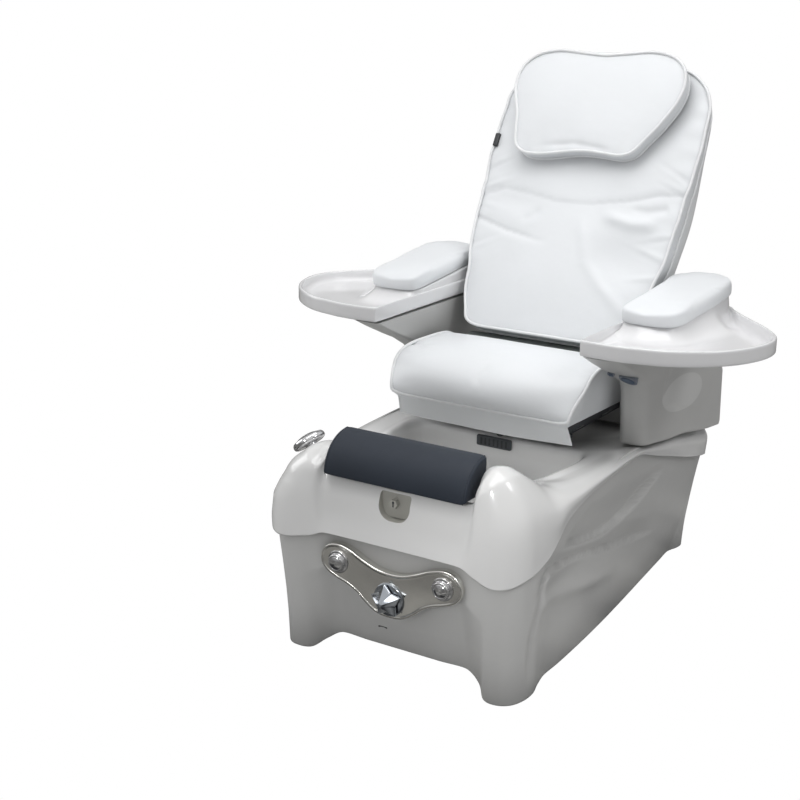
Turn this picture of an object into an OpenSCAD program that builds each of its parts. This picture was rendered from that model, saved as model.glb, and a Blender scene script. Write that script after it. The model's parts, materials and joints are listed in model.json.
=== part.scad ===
// Pedicure spa chair: moulded foot-bath base, sliding and reclining massage
// seat, two swivelling arm tops with trays, lifting foot rest.
// X is across the chair, -Y is the front, +Z is up. The origin is on the floor,
// under the middle of the base, at the centre of the middle foot. Millimetres.
// Parts called left lie at -X, parts called right at +X.

/* [Base] */
// Widest half width of the base at the deck shoulder
base_half_w = 346; // [320:1:370]
// Front of the white front panel, measured forward of the origin
base_front = 600; // [580:1:640]
// Height of the tub rim and of the deck behind it
deck_z = 467; // [460:1:474]
// Height of the two front lobes
lobe_z = 553; // [520:1:570]
// Floor of the foot basin
basin_z = 205; // [195:1:230]
// Wall of the moulded shells
shell_t = 5; // [4:0.5:6]

/* [Seat] */
// Half width of the seat cushion
seat_half_w = 262; // [230:1:264]
// Top of the seat cushion
seat_top = 690; // [670:1:696]
// Half width of the front skirt
skirt_half_w = 244; // [220:1:250]

/* [Backrest] */
// Lean of the backrest from the vertical, degrees
back_lean = 30; // [30:1:30]
// Length of the backrest
back_len = 796; // [790:1:800]
// Thickness of the back cushion
back_pad_t = 60; // [45:1:60]
// Depth of the back shell behind the cushion face
back_shell_m = 130; // [124:1:130]
// Thickness of the head pillow
pillow_t = 57; // [40:1:60]

/* [Arms] */
// Half width of the chair at the inner edge of the arm tops
arm_in = 284; // [284:1:290]
// Top of the tray rim
tray_top = 795; // [790:1:800]
// Height of the tray rim
tray_h = 38; // [34:1:38]
// Radius of the swivel pin
swivel_r = 12; // [10:1:14]

/* [Foot rest] */
// Half length of the foot rest pad
foot_half_w = 193; // [180:1:194]
// Radius of the foot rest section
foot_r = 100; // [90:1:100]

/* [Fittings] */
// Radius of the water inlet studs
inlet_r = 10.48; // [10:0.01:11]
// Radius of the drain outlet
outlet_r = 20; // [18:1:22]

/* [Hidden] */
$fn = 48;

SHELL_WHITE = [0.93, 0.93, 0.93];
SHELL_GREY = [0.78, 0.79, 0.79];
VINYL = [0.95, 0.96, 0.97];
NAVY = [0.19, 0.22, 0.27];
CHROME = [0.75, 0.75, 0.74];
STEEL = [0.45, 0.46, 0.48];
DARK = [0.15, 0.16, 0.18];

// rotations that turn +Z towards the rear, the front and +X
TO_REAR = [-90, 0, 0];
TO_FRONT = [90, 0, 0];
TO_RIGHT = [0, 90, 0];
SIDES = [-1, 1];
FIT = 0.05;  // radial clearance of a pin or rod in its hole

// ---------- small geometry helpers ----------
function lerp(from, to, part) = from + (to - from) * part;
function clamp01(value) = min(1, max(0, value));
function ease(value) = let(part = clamp01(value)) part * part * (3 - 2 * part);
function unit(v) = let(size = norm(v)) size < 1e-9 ? [0, 0, 1] : v / size;
function flip_x(point) = [for (i = [0:len(point) - 1]) i == 0 ? -point[i] : point[i]];
// closed loop from its half, whose first and last points lie on the centre line
function both_halves(half) =
  concat(half, [for (i = [len(half) - 2:-1:1]) flip_x(half[i])]);
// Catmull-Rom point between start and end
function spline(before, start, end, after, part) =
  0.5 * (2 * start + (end - before) * part
    + (2 * before - 5 * start + 4 * end - after) * part * part
    + (3 * start - before - 3 * end + after) * part * part * part);
function open_point(points, at) = let(n = len(points), i = min(n - 2, floor(at)))
  spline(points[max(0, i - 1)], points[i], points[i + 1],
    points[min(n - 1, i + 2)], at - i);
function closed_point(points, at) = let(n = len(points), i = floor(at))
  spline(points[(i + n - 1) % n], points[i], points[(i + 1) % n],
    points[(i + 2) % n], at - i);
// smooth curves with a number of steps per span
function smooth_open(points, steps) =
  [for (i = [0:(len(points) - 1) * steps]) open_point(points, i / steps)];
function smooth_closed(points, steps) =
  [for (i = [0:len(points) * steps - 1]) closed_point(points, i / steps)];
// an anticlockwise 2D outline moved inward
function inset_outline(points, distance) = let(n = len(points)) [for (i = [0:n - 1])
  let(along = unit(concat(points[(i + 1) % n] - points[(i + n - 1) % n], [0])))
  points[i] + distance * [-along[1], along[0]]];

// grid of rings moved inward along its normals
function offset_grid(grid, depth) = let(last = len(grid) - 1, n = len(grid[0]))
  [for (i = [0:last]) [for (j = [0:n - 1])
    let(along = grid[i][(j + 1) % n] - grid[i][(j + n - 1) % n],
        up = grid[min(last, i + 1)][j] - grid[max(0, i - 1)][j])
    grid[i][j] - unit(cross(along, up)) * depth]];
// thin closed shell inside a grid of rings
module moulded_shell(outer) {
  inner = offset_grid(outer, shell_t);
  rings = concat(outer, [for (i = [len(outer) - 1:-1:0]) inner[i]]);
  count = len(rings);
  n = len(outer[0]);
  points = [for (ring = rings) each ring];
  faces = [for (i = [0:count - 1]) for (j = [0:n - 1])
    let(next_i = (i + 1) % count, next_j = (j + 1) % n,
        here = i * n + j, beside = i * n + next_j,
        across = next_i * n + next_j, above = next_i * n + j)
    each [[here, across, beside], [here, above, across]]];
  polyhedron(points, faces);
}
// a [y, z] side profile extruded from x0 to x1
module side_prism(x0, x1)
  rotate([90, 0, 90]) translate([0, 0, x0]) linear_extrude(x1 - x0) children();
module tube_x(half_len, y, z, size = 30)
  translate([-half_len, y - size / 2, z]) cube([2 * half_len, size, size]);
module tube_y(x, y0, y1, z, size = 30)
  translate([x - size / 2, y0, z]) cube([size, y1 - y0, size]);

// ---------- places shared between sections ----------
drain_y = -360;
tap_x = 144;
tap_z = 265;
diverter_z = 204;
stem_r = 11;
// columns: x, z, body radius, body length, radius of the hole in the plate
valves = [[-tap_x, tap_z, 17, 24, 13], [tap_x, tap_z, 17, 24, 13],
  [0, diverter_z, 19, 18, 15]];

// ---------- base shells ----------
panel_y = -base_front;
// The four tables below hold [x, y, z] at the same stations round the right
// half of the base, front centre to rear centre.
// lower edge of the white upper shell
hem = [[0, panel_y, 331], [100, panel_y, 331], [190, panel_y - 1, 329],
  [225, panel_y - 3, 312], [262, panel_y - 2, 297], [298, panel_y + 14, 299],
  [323, panel_y + 46, 312], [332, panel_y + 92, 323], [337, -462, 342],
  [340, -424, 367], [342, -378, 402], [344, -305, 427], [345, -235, 441],
  [base_half_w, -140, 452], [base_half_w, -38, 460],
  [base_half_w - 1, 25, 456], [342, 150, 418], [337, 270, 383],
  [331, 380, 350], [325, 485, 323], [315, 560, 308], [297, 594, 302],
  [262, 606, 300], [200, 608, 300], [100, 608, 300], [0, 608, 300]];
// top of the shoulder, ridge of the lobes
ridge = [[0, -566, 470], [100, -566, 470], [197, -567, 472],
  [208, -569, 505], [222, -562, 532], [234, -540, 549],
  [240, -512, lobe_z], [244, -484, 546], [250, -452, 526],
  [260, -415, 500], [276, -370, 480], [296, -305, 471], [310, -235, 470],
  [319, -140, 471], [324, -38, 472], [325, 25, 470], [321, 150, 455],
  [315, 270, 439], [309, 380, 421], [303, 485, 402], [294, 556, 392],
  [280, 580, 389], [250, 590, 388], [195, 592, 388], [100, 592, 388],
  [0, 592, 388]];
// inner edge of the deck: rim of the tub
rim = [[0, -545, deck_z], [100, -545, deck_z], [196.5, -545, 469],
  [200, -548, 496], [203, -542, 522], [205, -528, 538], [206, -508, 543],
  [207, -486, 537], [208, -456, 519], [214, -420, 494], [225, -368, 473],
  [236, -305, deck_z], [245, -235, deck_z], [252, -165, deck_z],
  [250, -115, deck_z], [234, -90, deck_z], [208, -82, deck_z],
  [182, -80, deck_z], [156, -80, deck_z], [130, -80, deck_z],
  [106, -80, deck_z], [84, -80, deck_z], [63, -80, deck_z],
  [42, -80, deck_z], [21, -80, deck_z], [0, -80, deck_z]];
// floor edge of the grey lower shell
plinth = [[0, -531, 48], [100, -531, 48], [178, -531, 48],
  [214, -540, 26], [240, -566, 4], [276, -574, 4], [304, -556, 4],
  [318, -520, 4], [319, -474, 4], [308, -430, 4], [299, -380, 4],
  [299, -310, 4], [297, -240, 4], [293, -150, 4], [287, -50, 4],
  [282, 20, 4], [272, 140, 4], [262, 250, 4], [253, 350, 4],
  [244, 450, 4], [238, 525, 4], [250, 570, 4], [246, 604, 4],
  [205, 616, 4], [120, 612, 130], [0, 612, 130]];
stations = [0:len(hem) - 1];
// stations below this one lie on the flat front panel
corner = 3;

// outer face between hem and ridge, lower and upper ring
function belly(i) = let(low = hem[i], top = ridge[i])
  [max(low[0], lerp(low[0], top[0], 0.25)) + 3 * clamp01((i - 2) / 3),
   lerp(low[1], top[1], i < corner ? 0.35 : 0.12),
   lerp(low[2], top[2], i < corner ? 0.35 : (i < 10 ? 0.55 : 0.62))];
function upper_belly(i) = let(low = hem[i], top = ridge[i])
  [lerp(low[0], top[0], i < corner ? 1 : 0.55), lerp(low[1], top[1], 0.55),
   lerp(low[2], top[2], i < corner ? 0.75 : 0.93)];
// middle of the deck, crowned along the lobes
function deck_middle(i) = lerp(ridge[i], rim[i], 0.5)
  + [0, 0, i >= corner && i < 11 ? 3 : 0];
// tub wall, fall 0 at the rim to 1 at the basin floor
tub_centre_y = -318;
function wall(i, fall) = let(top = rim[i], foot_x = top[0] * 0.74,
   foot_y = tub_centre_y + (top[1] - tub_centre_y) * 0.78,
   inward = ease(fall) * 0.5 + fall * 0.5)
  [lerp(top[0], foot_x, inward), lerp(top[1], foot_y, inward),
   lerp(top[2] - 10 * ease(fall * 6), basin_z, pow(fall, 0.85))];
// basin floor, part 0 at the wall to 1 at the drain hole
drain_hole_r = 33;
function basin(i, part) = let(foot = wall(i, 1), angle = 180 * i / (len(rim) - 1))
  [lerp(foot[0], drain_hole_r * sin(angle), part),
   lerp(foot[1], drain_y - drain_hole_r * cos(angle), part), basin_z];
upper_halves = concat(
  [hem, [for (i = stations) belly(i)], [for (i = stations) upper_belly(i)],
   ridge, [for (i = stations) deck_middle(i)], rim],
  [for (fall = [0.12, 0.45, 0.8, 1]) [for (i = stations) wall(i, fall)]],
  [for (part = [0.12, 1]) [for (i = stations) basin(i, part)]]);

// niche for the foot rest clamp, open at the top, its lower corners rounded
niche_half_w = 42;
niche_r = 20;
niche_z = 415;
niche_rear = -552;
niche_depth = 60;
module upper_shell() {
  flat_half_w = niche_half_w - niche_r;
  color(SHELL_WHITE) difference() {
    moulded_shell([for (half = upper_halves) both_halves(half)]);
    translate([-niche_half_w, niche_rear - niche_depth, niche_z])
      cube([2 * niche_half_w, niche_depth, 90]);
    translate([-flat_half_w, niche_rear - niche_depth, niche_z - niche_r])
      cube([2 * flat_half_w, niche_depth, 30]);
    for (side = SIDES) translate([side * flat_half_w, niche_rear, niche_z])
      rotate(TO_FRONT) cylinder(r = niche_r, h = niche_depth);
  }
}

// direction from the outer face into the base
function inward(i) = i < 4 ? [0, 1] : i > 22 ? [0, -1]
  : i < 7 ? unit([-1, 1.1, 0]) : i > 19 ? unit([-1, -1, 0]) : [-1, 0];
// top edge of the lower shell, tucked inside the hem
tuck = 10;
function tucked_edge(i) = let(low = hem[i], way = inward(i))
  [max(0, low[0] + tuck * way[0]), low[1] + tuck * way[1],
   low[2] + min(14, 0.6 * (ridge[i][2] - low[2]) - 4.5)];
// lower shell, rise 0 at the floor to 1 at the tucked edge
function lower_point(i, rise) = let(foot = plinth[i], top = tucked_edge(i),
   out = i < corner ? ease(min(1, rise * 1.45)) : pow(rise, i < 9 ? 0.75 : 0.9))
  [lerp(foot[0], top[0], out), lerp(foot[1], top[1], out), lerp(foot[2], top[2], rise)];
module lower_shell() color(SHELL_GREY) difference() {
  moulded_shell([for (rise = [0, 0.12, 0.3, 0.5, 0.7, 0.86, 1])
    both_halves([for (i = stations) lower_point(i, rise)])]);
  for (valve = valves) translate([valve[0], -555, valve[1]])
    rotate(TO_FRONT) cylinder(r = stem_r + 0.6, h = 60);
}

// ---------- frame inside the base ----------
frame_x = 200;
frame_z = 20;
module base_frame() color(STEEL) {
  for (side = SIDES) {
    tube_y(side * frame_x, -470, 550, frame_z);
    // posts: [y, top]
    for (post = [[20, 436], [260, 408], [470, 378]])
      translate([side * frame_x - 15, post[0] - 15, 49]) cube([30, 30, post[1] - 49]);
  }
  // cross tubes: [y, z]
  for (place = [[-440, frame_z], [0, frame_z], [470, frame_z], [20, 376], [470, 330]])
    tube_x(frame_x - 1, place[0], place[1]);
}
module levelling_feet() color(DARK)
  for (spot = [[0, 0], [-frame_x, -400], [frame_x, -400], [-frame_x, 520], [frame_x, 520]])
    translate([spot[0], spot[1], 0]) {
      cylinder(r = 26, h = 7);
      translate([0, 0, 6.5]) cylinder(r = 6, h = 13);
    }

// ---------- drain ----------
pipe_z = 82;
module drain_body() color(CHROME) translate([0, drain_y, 0]) difference() {
  union() {
    translate([0, 0, basin_z + 1]) cylinder(r = 40, h = 3);
    translate([0, 0, 110]) cylinder(r = 26, h = basin_z - 108);
  }
  translate([0, 0, 120]) cylinder(r = 21, h = 100);
}
module drain_stopper() color(CHROME) translate([0, drain_y, 0]) {
  translate([0, 0, basin_z + 5]) cylinder(r = 24, h = 4);
  translate([0, 0, basin_z - 45]) cylinder(r = 4, h = 51);
}
// drop and bend under the drain, run to the rear, collar and outlet
module drain_pipe() color(DARK) {
  translate([0, drain_y, pipe_z + 3]) cylinder(r = outlet_r + 3, h = 24.5);
  translate([0, drain_y, pipe_z]) sphere(r = outlet_r + 3);
  translate([0, drain_y, pipe_z]) rotate(TO_REAR) cylinder(r = outlet_r - 2.5, h = 975);
  translate([0, 608, pipe_z]) rotate(TO_REAR) cylinder(r = outlet_r + 2, h = 12);
  translate([0, 610, pipe_z]) rotate(TO_REAR) cylinder(r = outlet_r, h = 30);
}

// ---------- water jet ----------
jet_y = -72;        // front of the housing
jet_motor_y = -11.5;
jet_z = 330;
jet_shaft_r = 6;
jet_wall = 6;
module jet_grille() color(DARK) translate([-12, -93, 446]) difference() {
  cube([100, 5, 30], center = true);
  for (i = [-3:3]) translate([i * 13, 0, 0]) cube([6, 7, 20], center = true);
}
module jet_housing() color(DARK) translate([0, jet_y, jet_z]) rotate(TO_REAR)
  difference() {
    cylinder(r = 48, h = 60);
    translate([0, 0, jet_wall]) cylinder(r = 48 - jet_wall, h = 60 - 2 * jet_wall);
    translate([0, 0, -1]) cylinder(r = 22, h = 10);
    translate([0, 0, 50]) cylinder(r = jet_shaft_r + FIT, h = 12);
  }
// hub, shaft and six blades
module jet_impeller() color(SHELL_WHITE) translate([0, jet_y, jet_z]) rotate(TO_REAR) {
  translate([0, 0, 12]) cylinder(r = 14, h = 34);
  translate([0, 0, 40]) cylinder(r = jet_shaft_r, h = 30);
  for (angle = [0:60:300]) rotate([0, 0, angle]) translate([12, -1.5, 14]) cube([26, 3, 28]);
}
module jet_motor() color(STEEL) translate([0, jet_motor_y, jet_z]) rotate(TO_REAR)
  difference() {
    cylinder(r = 40, h = 100);
    translate([0, 0, -1]) cylinder(r = jet_shaft_r + FIT, h = 14);
  }

// ---------- taps and shower ----------
faucet_y = -594;              // rear face of the plate
handle_y = faucet_y - 5.5;
handle_stem_r = 6;
valve_y = -558;
// rectangle of a given half width between two points
function strip(from, to, half_w) =
  let(along = to - from, side = half_w * [-along[1], along[0]] / norm(along))
  [from + side, from - side, to - side, to + side];
module faucet_plate() color(CHROME) translate([0, faucet_y, 0]) rotate(TO_FRONT)
  difference() {
    linear_extrude(4) {
      for (side = SIDES) {
        translate([side * 152, 268]) circle(r = 42);
        polygon(strip([side * 150, 268], [0, 205], 40));
      }
      translate([0, 206]) circle(r = 48);
    }
    for (valve = valves) translate([valve[0], valve[1], -1]) cylinder(r = valve[4], h = 8);
  }
// a bored stem to the front and a body behind it, for each valve
module valve_bodies() color("goldenrod") for (valve = valves) {
  translate([valve[0], valve_y, valve[1]]) rotate(TO_FRONT) difference() {
    cylinder(r = stem_r, h = 42);
    translate([0, 0, 24]) cylinder(r = handle_stem_r + FIT, h = 20);
  }
  translate([valve[0], valve_y - 0.5, valve[1]]) rotate(TO_REAR)
    cylinder(r = valve[2], h = valve[3]);
}
module handle_stem() translate([0, 0, -12]) cylinder(r = handle_stem_r, h = 14);
// round knob with a lever pointing up
module tap_handle(x) color(CHROME) translate([x, handle_y, tap_z]) rotate(TO_FRONT) {
  handle_stem();
  translate([0, 0, 1.5]) cylinder(r = 24, h = 22);
  translate([0, 0, 23.5]) cylinder(r1 = 24, r2 = 19, h = 5);
  translate([-5, 0, 12]) cube([10, 33, 9]);
}
module hot_handle() tap_handle(-tap_x);
module cold_handle() tap_handle(tap_x);
module diverter_handle() color(CHROME) translate([0, handle_y, diverter_z])
  rotate(TO_FRONT) {
    handle_stem();
    translate([0, 0, 1.5]) cylinder(r = 26, h = 12);
    translate([0, 0, 13]) rotate([0, 0, 90]) cylinder(r1 = 30, r2 = 8, h = 26, $fn = 6);
  }
// short open tube through the front wall of the tub, dipping to the rear
module tub_spout() color(CHROME) translate([0, -538.4, 418]) rotate([-79, 0, 0])
  difference() {
    cylinder(r = 17, h = 28);
    translate([0, 0, 6]) cylinder(r = 11, h = 30);
  }
// the holder stands square to the sloping flank of the left lobe
shower_r = 10;
module on_lobe() translate([-318, -440, 472]) rotate([0, -38, 0]) children();
module shower_holder() color(CHROME) on_lobe() difference() {
  union() {
    translate([0, 0, 7]) cylinder(r = 20, h = 3);
    translate([0, 0, 7]) cylinder(r = 15, h = 14);
  }
  translate([0, 0, 9]) cylinder(r = shower_r + FIT, h = 20);
}
module hand_shower() color(CHROME) on_lobe() {
  translate([0, 0, 9.5]) cylinder(r = shower_r, h = 14);
  translate([0, 0, 21.3]) cylinder(r1 = 19, r2 = 31, h = 12);
  translate([0, 0, 33]) cylinder(r = 31, h = 9);
}

// ---------- supply, controls and service panel ----------
hose_x = 95;
hose_z = 90;
hose_r = 7;
hose_front = -495;
module supply_hoses() color("silver") for (side = SIDES)
  translate([side * hose_x, hose_front, hose_z]) {
    rotate(TO_REAR) cylinder(r = hose_r, h = 1070);
    sphere(r = hose_r);
    cylinder(r = hose_r, h = 62);
  }
module water_inlets() color("goldenrod") for (side = SIDES)
  translate([side * hose_x, 576, hose_z]) rotate(TO_REAR) {
    cylinder(r = 16, h = 20, $fn = 6);
    cylinder(r = inlet_r + 2, h = 44);
    cylinder(r = inlet_r, h = 64);
  }
box_size = [120, 180, 90];
box_wall = 4 * [1, 1, 1];
module control_box() color(DARK) translate([-150, 120, 104]) difference() {
  cube(box_size);
  translate(box_wall) cube(box_size - 2 * box_wall);
}
panel_size = [220, 4, 110];
panel_spot = [-panel_size.x / 2, 617, 150];
screw_inset = 14;
// children at the four screw places, their +Z to the rear
module at_screws(y)
  for (x = [screw_inset, panel_size.x - screw_inset],
       z = [screw_inset, panel_size.z - screw_inset])
    translate([x, y, z]) rotate(TO_REAR) children();
module service_panel() color(SHELL_GREY) translate(panel_spot) difference() {
  cube(panel_size);
  at_screws(-1) cylinder(r = 3.2, h = 6);
}
module panel_screws() color("silver") translate(panel_spot) at_screws(0.2) {
  cylinder(r = 3, h = 4);
  translate([0, 0, 3.9]) cylinder(r1 = 6, r2 = 4, h = 2.6);
}

// ---------- slide under the seat ----------
rail_x = 150;
rod_x = 80;
rod_z = 497;
rod_r = 9;
// rail on a front and a rear foot, each side
module slide_rails() color(STEEL) for (side = SIDES) {
  translate([side * rail_x - 10, -86, 482]) cube([20, 566, 21]);
  translate([side * rail_x - 14, -60, 474]) cube([28, 60, 9]);
  translate([side * rail_x - 14, 420, 417]) cube([28, 50, 66]);
}
// blocks with a channel that straddles the rail
module slide_blocks() color("silver") for (side = SIDES) for (y = [0, 170])
  translate([side * rail_x - 17, y, 0]) difference() {
    translate([0, 0, 490]) cube([34, 60, 24]);
    translate([6.5, -1, 480]) cube([21, 62, 23.5]);
  }
module slide_motor() color(DARK) translate([rod_x, 260, rod_z]) rotate(TO_REAR)
  difference() {
    union() {
      cylinder(r = 15, h = 180);
      translate([-24, -2, 120]) cube([48, 36, 60]);
    }
    translate([0, 0, -1]) cylinder(r = rod_r + FIT, h = 172);
  }
module slide_rod() color("silver") translate([rod_x, 87.7, rod_z]) rotate(TO_REAR)
  cylinder(r = rod_r, h = 264);

// hood over the rails behind the seat, open towards the seat
module rear_cover() color(SHELL_GREY) difference() {
  translate([-262, 296, 380]) cube([524, 258, 150]);
  translate([-257, 280, 360]) cube([514, 269, 165]);
  // sloping lower edge
  side_prism(-300, 300) polygon([[270, 300], [600, 300], [600, 398], [270, 436]]);
  // sloping rear of the hood
  side_prism(-300, 300) polygon([[500, 540], [560, 500], [600, 540]]);
}

// ---------- arm pillars, drawn for the right side ----------
pivot = [338, 262];      // swivel axis of the arm top
bush_r = 15;
bush_fit = 0.06;
module at_pivot(z) translate([pivot.x, pivot.y, z]) children();
// 1 mm slice with a round nose; x and y are [low, high], moved in by trim
module pillar_slice(z, x, y, trim, inner_r = 30, outer_r = 34) {
  inner = x[0] + trim;
  outer = x[1] - trim;
  front = y[0] + trim;
  rear = y[1] - trim;
  translate([0, 0, z]) linear_extrude(1) hull() {
    translate([inner + inner_r, front + inner_r]) circle(r = inner_r, $fn = 32);
    translate([outer - outer_r, front + outer_r]) circle(r = outer_r, $fn = 32);
    translate([inner, rear - 30]) square([outer - inner - 12, 30]);
    translate([outer - 14, rear - 16]) circle(r = 14, $fn = 32);
  }
}
// foot cut to the slope of the deck
module foot_cut() side_prism(200, 420)
  polygon([[-60, 474], [60, 474], [170, 457], [310, 441],
    [470, 413], [620, 396], [620, 300], [-60, 300]]);
module rear_cut(trim) side_prism(200, 420)
  polygon([[352 - trim, 800], [352 - trim, 752 - trim], [560 - trim, 600 - trim],
    [575 - trim, 480], [548 - trim, 420], [548 - trim, 300], [700, 300], [700, 800]]);
// pillar and its forward flare; with a trim it is the hollow inside, which
// runs out through the foot
module pillar_solid(trim) {
  difference() {
    hull() {
      pillar_slice(380, [268, 350], [26, 548], trim);
      pillar_slice(640 - trim, [arm_in, 352], [-14, 570], trim);
    }
    if (trim == 0) foot_cut();
    rear_cut(trim);
  }
  difference() {
    hull() {
      pillar_slice(638, [arm_in, 352], [-14, 566], trim, 24, 34);
      pillar_slice(751 - trim, [arm_in, 374], [-222, 566], trim, 10, 30);
    }
    rear_cut(trim);
  }
}
module arm_pillar() difference() {
  pillar_solid(0);
  pillar_solid(6);
  at_pivot(700) cylinder(r = bush_r + bush_fit, h = 60);
}

// switches on the sloping front of the right flare, places are [x, y]
switch_spot = [331, -93];
switch_w = 46;
switch_h = 22;
button_spot = [297, -112];
nose_angle = 28.52;
nose_slope = 0.5433;     // height gained per mm forward
// frame on the sloping front, +Z outward
module on_nose(spot)
  translate([spot.x, spot.y, 638 - (14 + spot.y) * nose_slope])
  rotate([180 - nose_angle, 0, 0]) children();
module at_switch() on_nose(switch_spot) rotate([0, 0, 12]) children();
// switch outline with round ends, made smaller by a total of less
module switch_outline(less = 0) {
  height = switch_h - less;
  straight = switch_w - switch_h;
  square([straight, height], center = true);
  for (side = SIDES) translate([side * straight / 2, 0]) circle(r = height / 2);
}
module right_arm_pillar() color(SHELL_GREY) difference() {
  arm_pillar();
  at_switch() translate([0, 0, -14]) linear_extrude(30) switch_outline(4);
  on_nose(button_spot) translate([0, 0, -14]) cylinder(r = 7.6, h = 30);
}
module left_arm_pillar() color(SHELL_GREY) mirror([1, 0, 0]) arm_pillar();
module switch_bezels() color(SHELL_WHITE) {
  at_switch() translate([0, 0, 0.4]) difference() {
    linear_extrude(4) switch_outline();
    translate([0, 0, -1]) linear_extrude(8) switch_outline(9);
  }
  on_nose(button_spot) translate([0, 0, 0.4]) difference() {
    cylinder(r = 9.5, h = 3);
    translate([0, 0, -1]) cylinder(r = 6.6, h = 8);
  }
}
module rocker_switch() color(NAVY) at_switch() {
  translate([0, 0, -1.2]) linear_extrude(5) switch_outline(11);
  translate([-14, 0, -3]) rotate(TO_RIGHT) cylinder(r = 2.5, h = 28);
}
module massage_button() color(NAVY) on_nose(button_spot)
  translate([0, 0, -4]) cylinder(r = 6, h = 9.5);

// ---------- swivels and arm tops, drawn for the right side ----------
module bush() difference() {
  at_pivot(716) cylinder(r = bush_r, h = 36);
  at_pivot(715) cylinder(r = swivel_r + bush_fit, h = 60);
}
module arm_bushes() color(DARK) {
  bush();
  mirror([1, 0, 0]) bush();
}
module swivel_pin() {
  at_pivot(712) cylinder(r = swivel_r, h = 41);
  at_pivot(752.5) cylinder(r = 30, h = 4);
}
module left_swivel_pin() color(STEEL) mirror([1, 0, 0]) swivel_pin();
module right_swivel_pin() color(STEEL) swivel_pin();

// Outlines run anticlockwise as [x, y]; the rear end is given round the pivot
// as [angle, radius].
function round_pivot(polar) =
  [for (p = polar) pivot + p[1] * [cos(p[0]), sin(p[0])]];
tray_corner = [arm_in, -238];
tray_curve = concat([[400, -243], [492, -218], [570, -166],
  [624, -98], [654, -12], [650, 62], [606, 132], [548, 196], [498, 248]],
  round_pivot([[12, 129], [28, 119], [46, 104], [68, 84], [90, 69], [112, 56.5],
    [135, 53.8], [160, 53.6]]),
  [[arm_in, pivot.y - 20], [arm_in, 120], [arm_in, -40], [arm_in, -150]]);
tray_outline = concat([tray_corner], smooth_open(tray_curve, 3));
pad_outline = smooth_closed(concat([[296, -22], [340, -50], [392, -48], [428, -18],
  [443, 60], [446, 160], [444, 236]],
  round_pivot([[12, 104], [32, 100], [52, 90], [72, 78], [92, 66], [115, 53],
    [140, 48], [165, 46]]),
  [[292, 220], [290, 140], [290, 60]]), 2);
// raised part of the tray that carries the arm pad
riser_outline = concat([[300, -26], [342, -42], [390, -40], [420, -12],
  [434, 60], [438, 160], [437, 230]],
  round_pivot([[10, 98], [30, 94], [52, 84], [74, 71], [96, 60], [120, 50.5],
    [146, 50], [168, 50]]),
  [[arm_in + 4, 220], [arm_in + 4, 120], [arm_in + 5, 0]]);
tray_z = tray_top - tray_h;
tilt_y = -80;
pad_z = tray_z + 38.3;   // underside of the pad at tilt_y
// frame of the pad's underside, rising to the rear
module tilt() translate([0, tilt_y, pad_z]) rotate([5.4, 0, 0])
  translate([0, -tilt_y, 0]) children();
module tray() union() {
  difference() {
    translate([0, 0, tray_z]) linear_extrude(tray_h) polygon(tray_outline);
    translate([0, 0, tray_z + 8]) linear_extrude(tray_h)
      polygon(inset_outline(tray_outline, 11));
  }
  intersection() {
    translate([0, 0, tray_z + 1]) linear_extrude(90) polygon(riser_outline);
    tilt() translate([260, -180, -140]) cube([220, 560, 139.6]);
  }
}
module right_tray() color(SHELL_WHITE) tray();
module left_tray() color(SHELL_WHITE) mirror([1, 0, 0]) tray();
module arm_pad() tilt() linear_extrude(36) polygon(pad_outline);
module right_arm_pad() color(VINYL) arm_pad();
module left_arm_pad() color(VINYL) mirror([1, 0, 0]) arm_pad();

// ---------- foot rest ----------
clamp_z = 436;
clamp_r = 4;
guide_y = -563;
module footrest_guide() color(STEEL) difference() {
  union() {
    translate([-16, guide_y, 350]) cube([32, 10, 98]);
    translate([-16, guide_y - 5, clamp_z - 10]) cube([32, 5.01, 20]);
  }
  translate([-12, guide_y, 345]) cube([24, 6, 110]);
  translate([0, -560, clamp_z]) rotate(TO_FRONT) cylinder(r = clamp_r + FIT, h = 10);
}
// upright strip and the plate under the pad
module footrest_post() color(STEEL) {
  translate([-11.5, guide_y + 0.5, 356]) cube([23, 5, 118]);
  translate([-150, guide_y + 0.5, 473]) cube([300, 50, 3]);
}
module footrest_pad() color(NAVY) side_prism(-foot_half_w, foot_half_w)
  intersection() {
    translate([-496, 469]) circle(r = foot_r);
    translate([-600, 477]) square([106, 100]);
  }
module footrest_knob() color(DARK) translate([0, guide_y + 0.3, clamp_z])
  rotate(TO_FRONT) {
    cylinder(r = clamp_r, h = 8);
    translate([0, 0, 6]) cylinder(r = 8, h = 11);
    translate([0, 0, 15]) cylinder(r = 11, h = 8, $fn = 6);
  }

// ---------- seat ----------
hinge_y = 150;           // hinge axis of the backrest
hinge_z = 590;
hinge_r = 8;
seat_tube = 25;
seat_tube_x = 190;
seat_tube_z = 519;
recline_z = 481;
recline_r = 8;
module seat_frame() color(STEEL) {
  for (side = SIDES) {
    tube_y(side * seat_tube_x, -150, 170, seat_tube_z, seat_tube);
    // hinge plate
    difference() {
      translate([side * seat_tube_x - 4, hinge_y - 22, 543]) cube([8, 44, 66]);
      translate([side * seat_tube_x - 20, hinge_y, hinge_z]) rotate(TO_RIGHT)
        cylinder(r = hinge_r + FIT, h = 40);
    }
    // bar on the slide blocks
    tube_y(side * rail_x, -4, 232, 514.3, 12);
  }
  for (y = [-137, 20, 75]) tube_x(178, y, seat_tube_z, seat_tube);
  // lug in front of the slide rod
  translate([rod_x - 14, 62.4, 484]) cube([28, 25, 36]);
  // plate over the recline motor
  translate([-22, -150, 510]) cube([44, 60, 9.5]);
}
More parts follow.
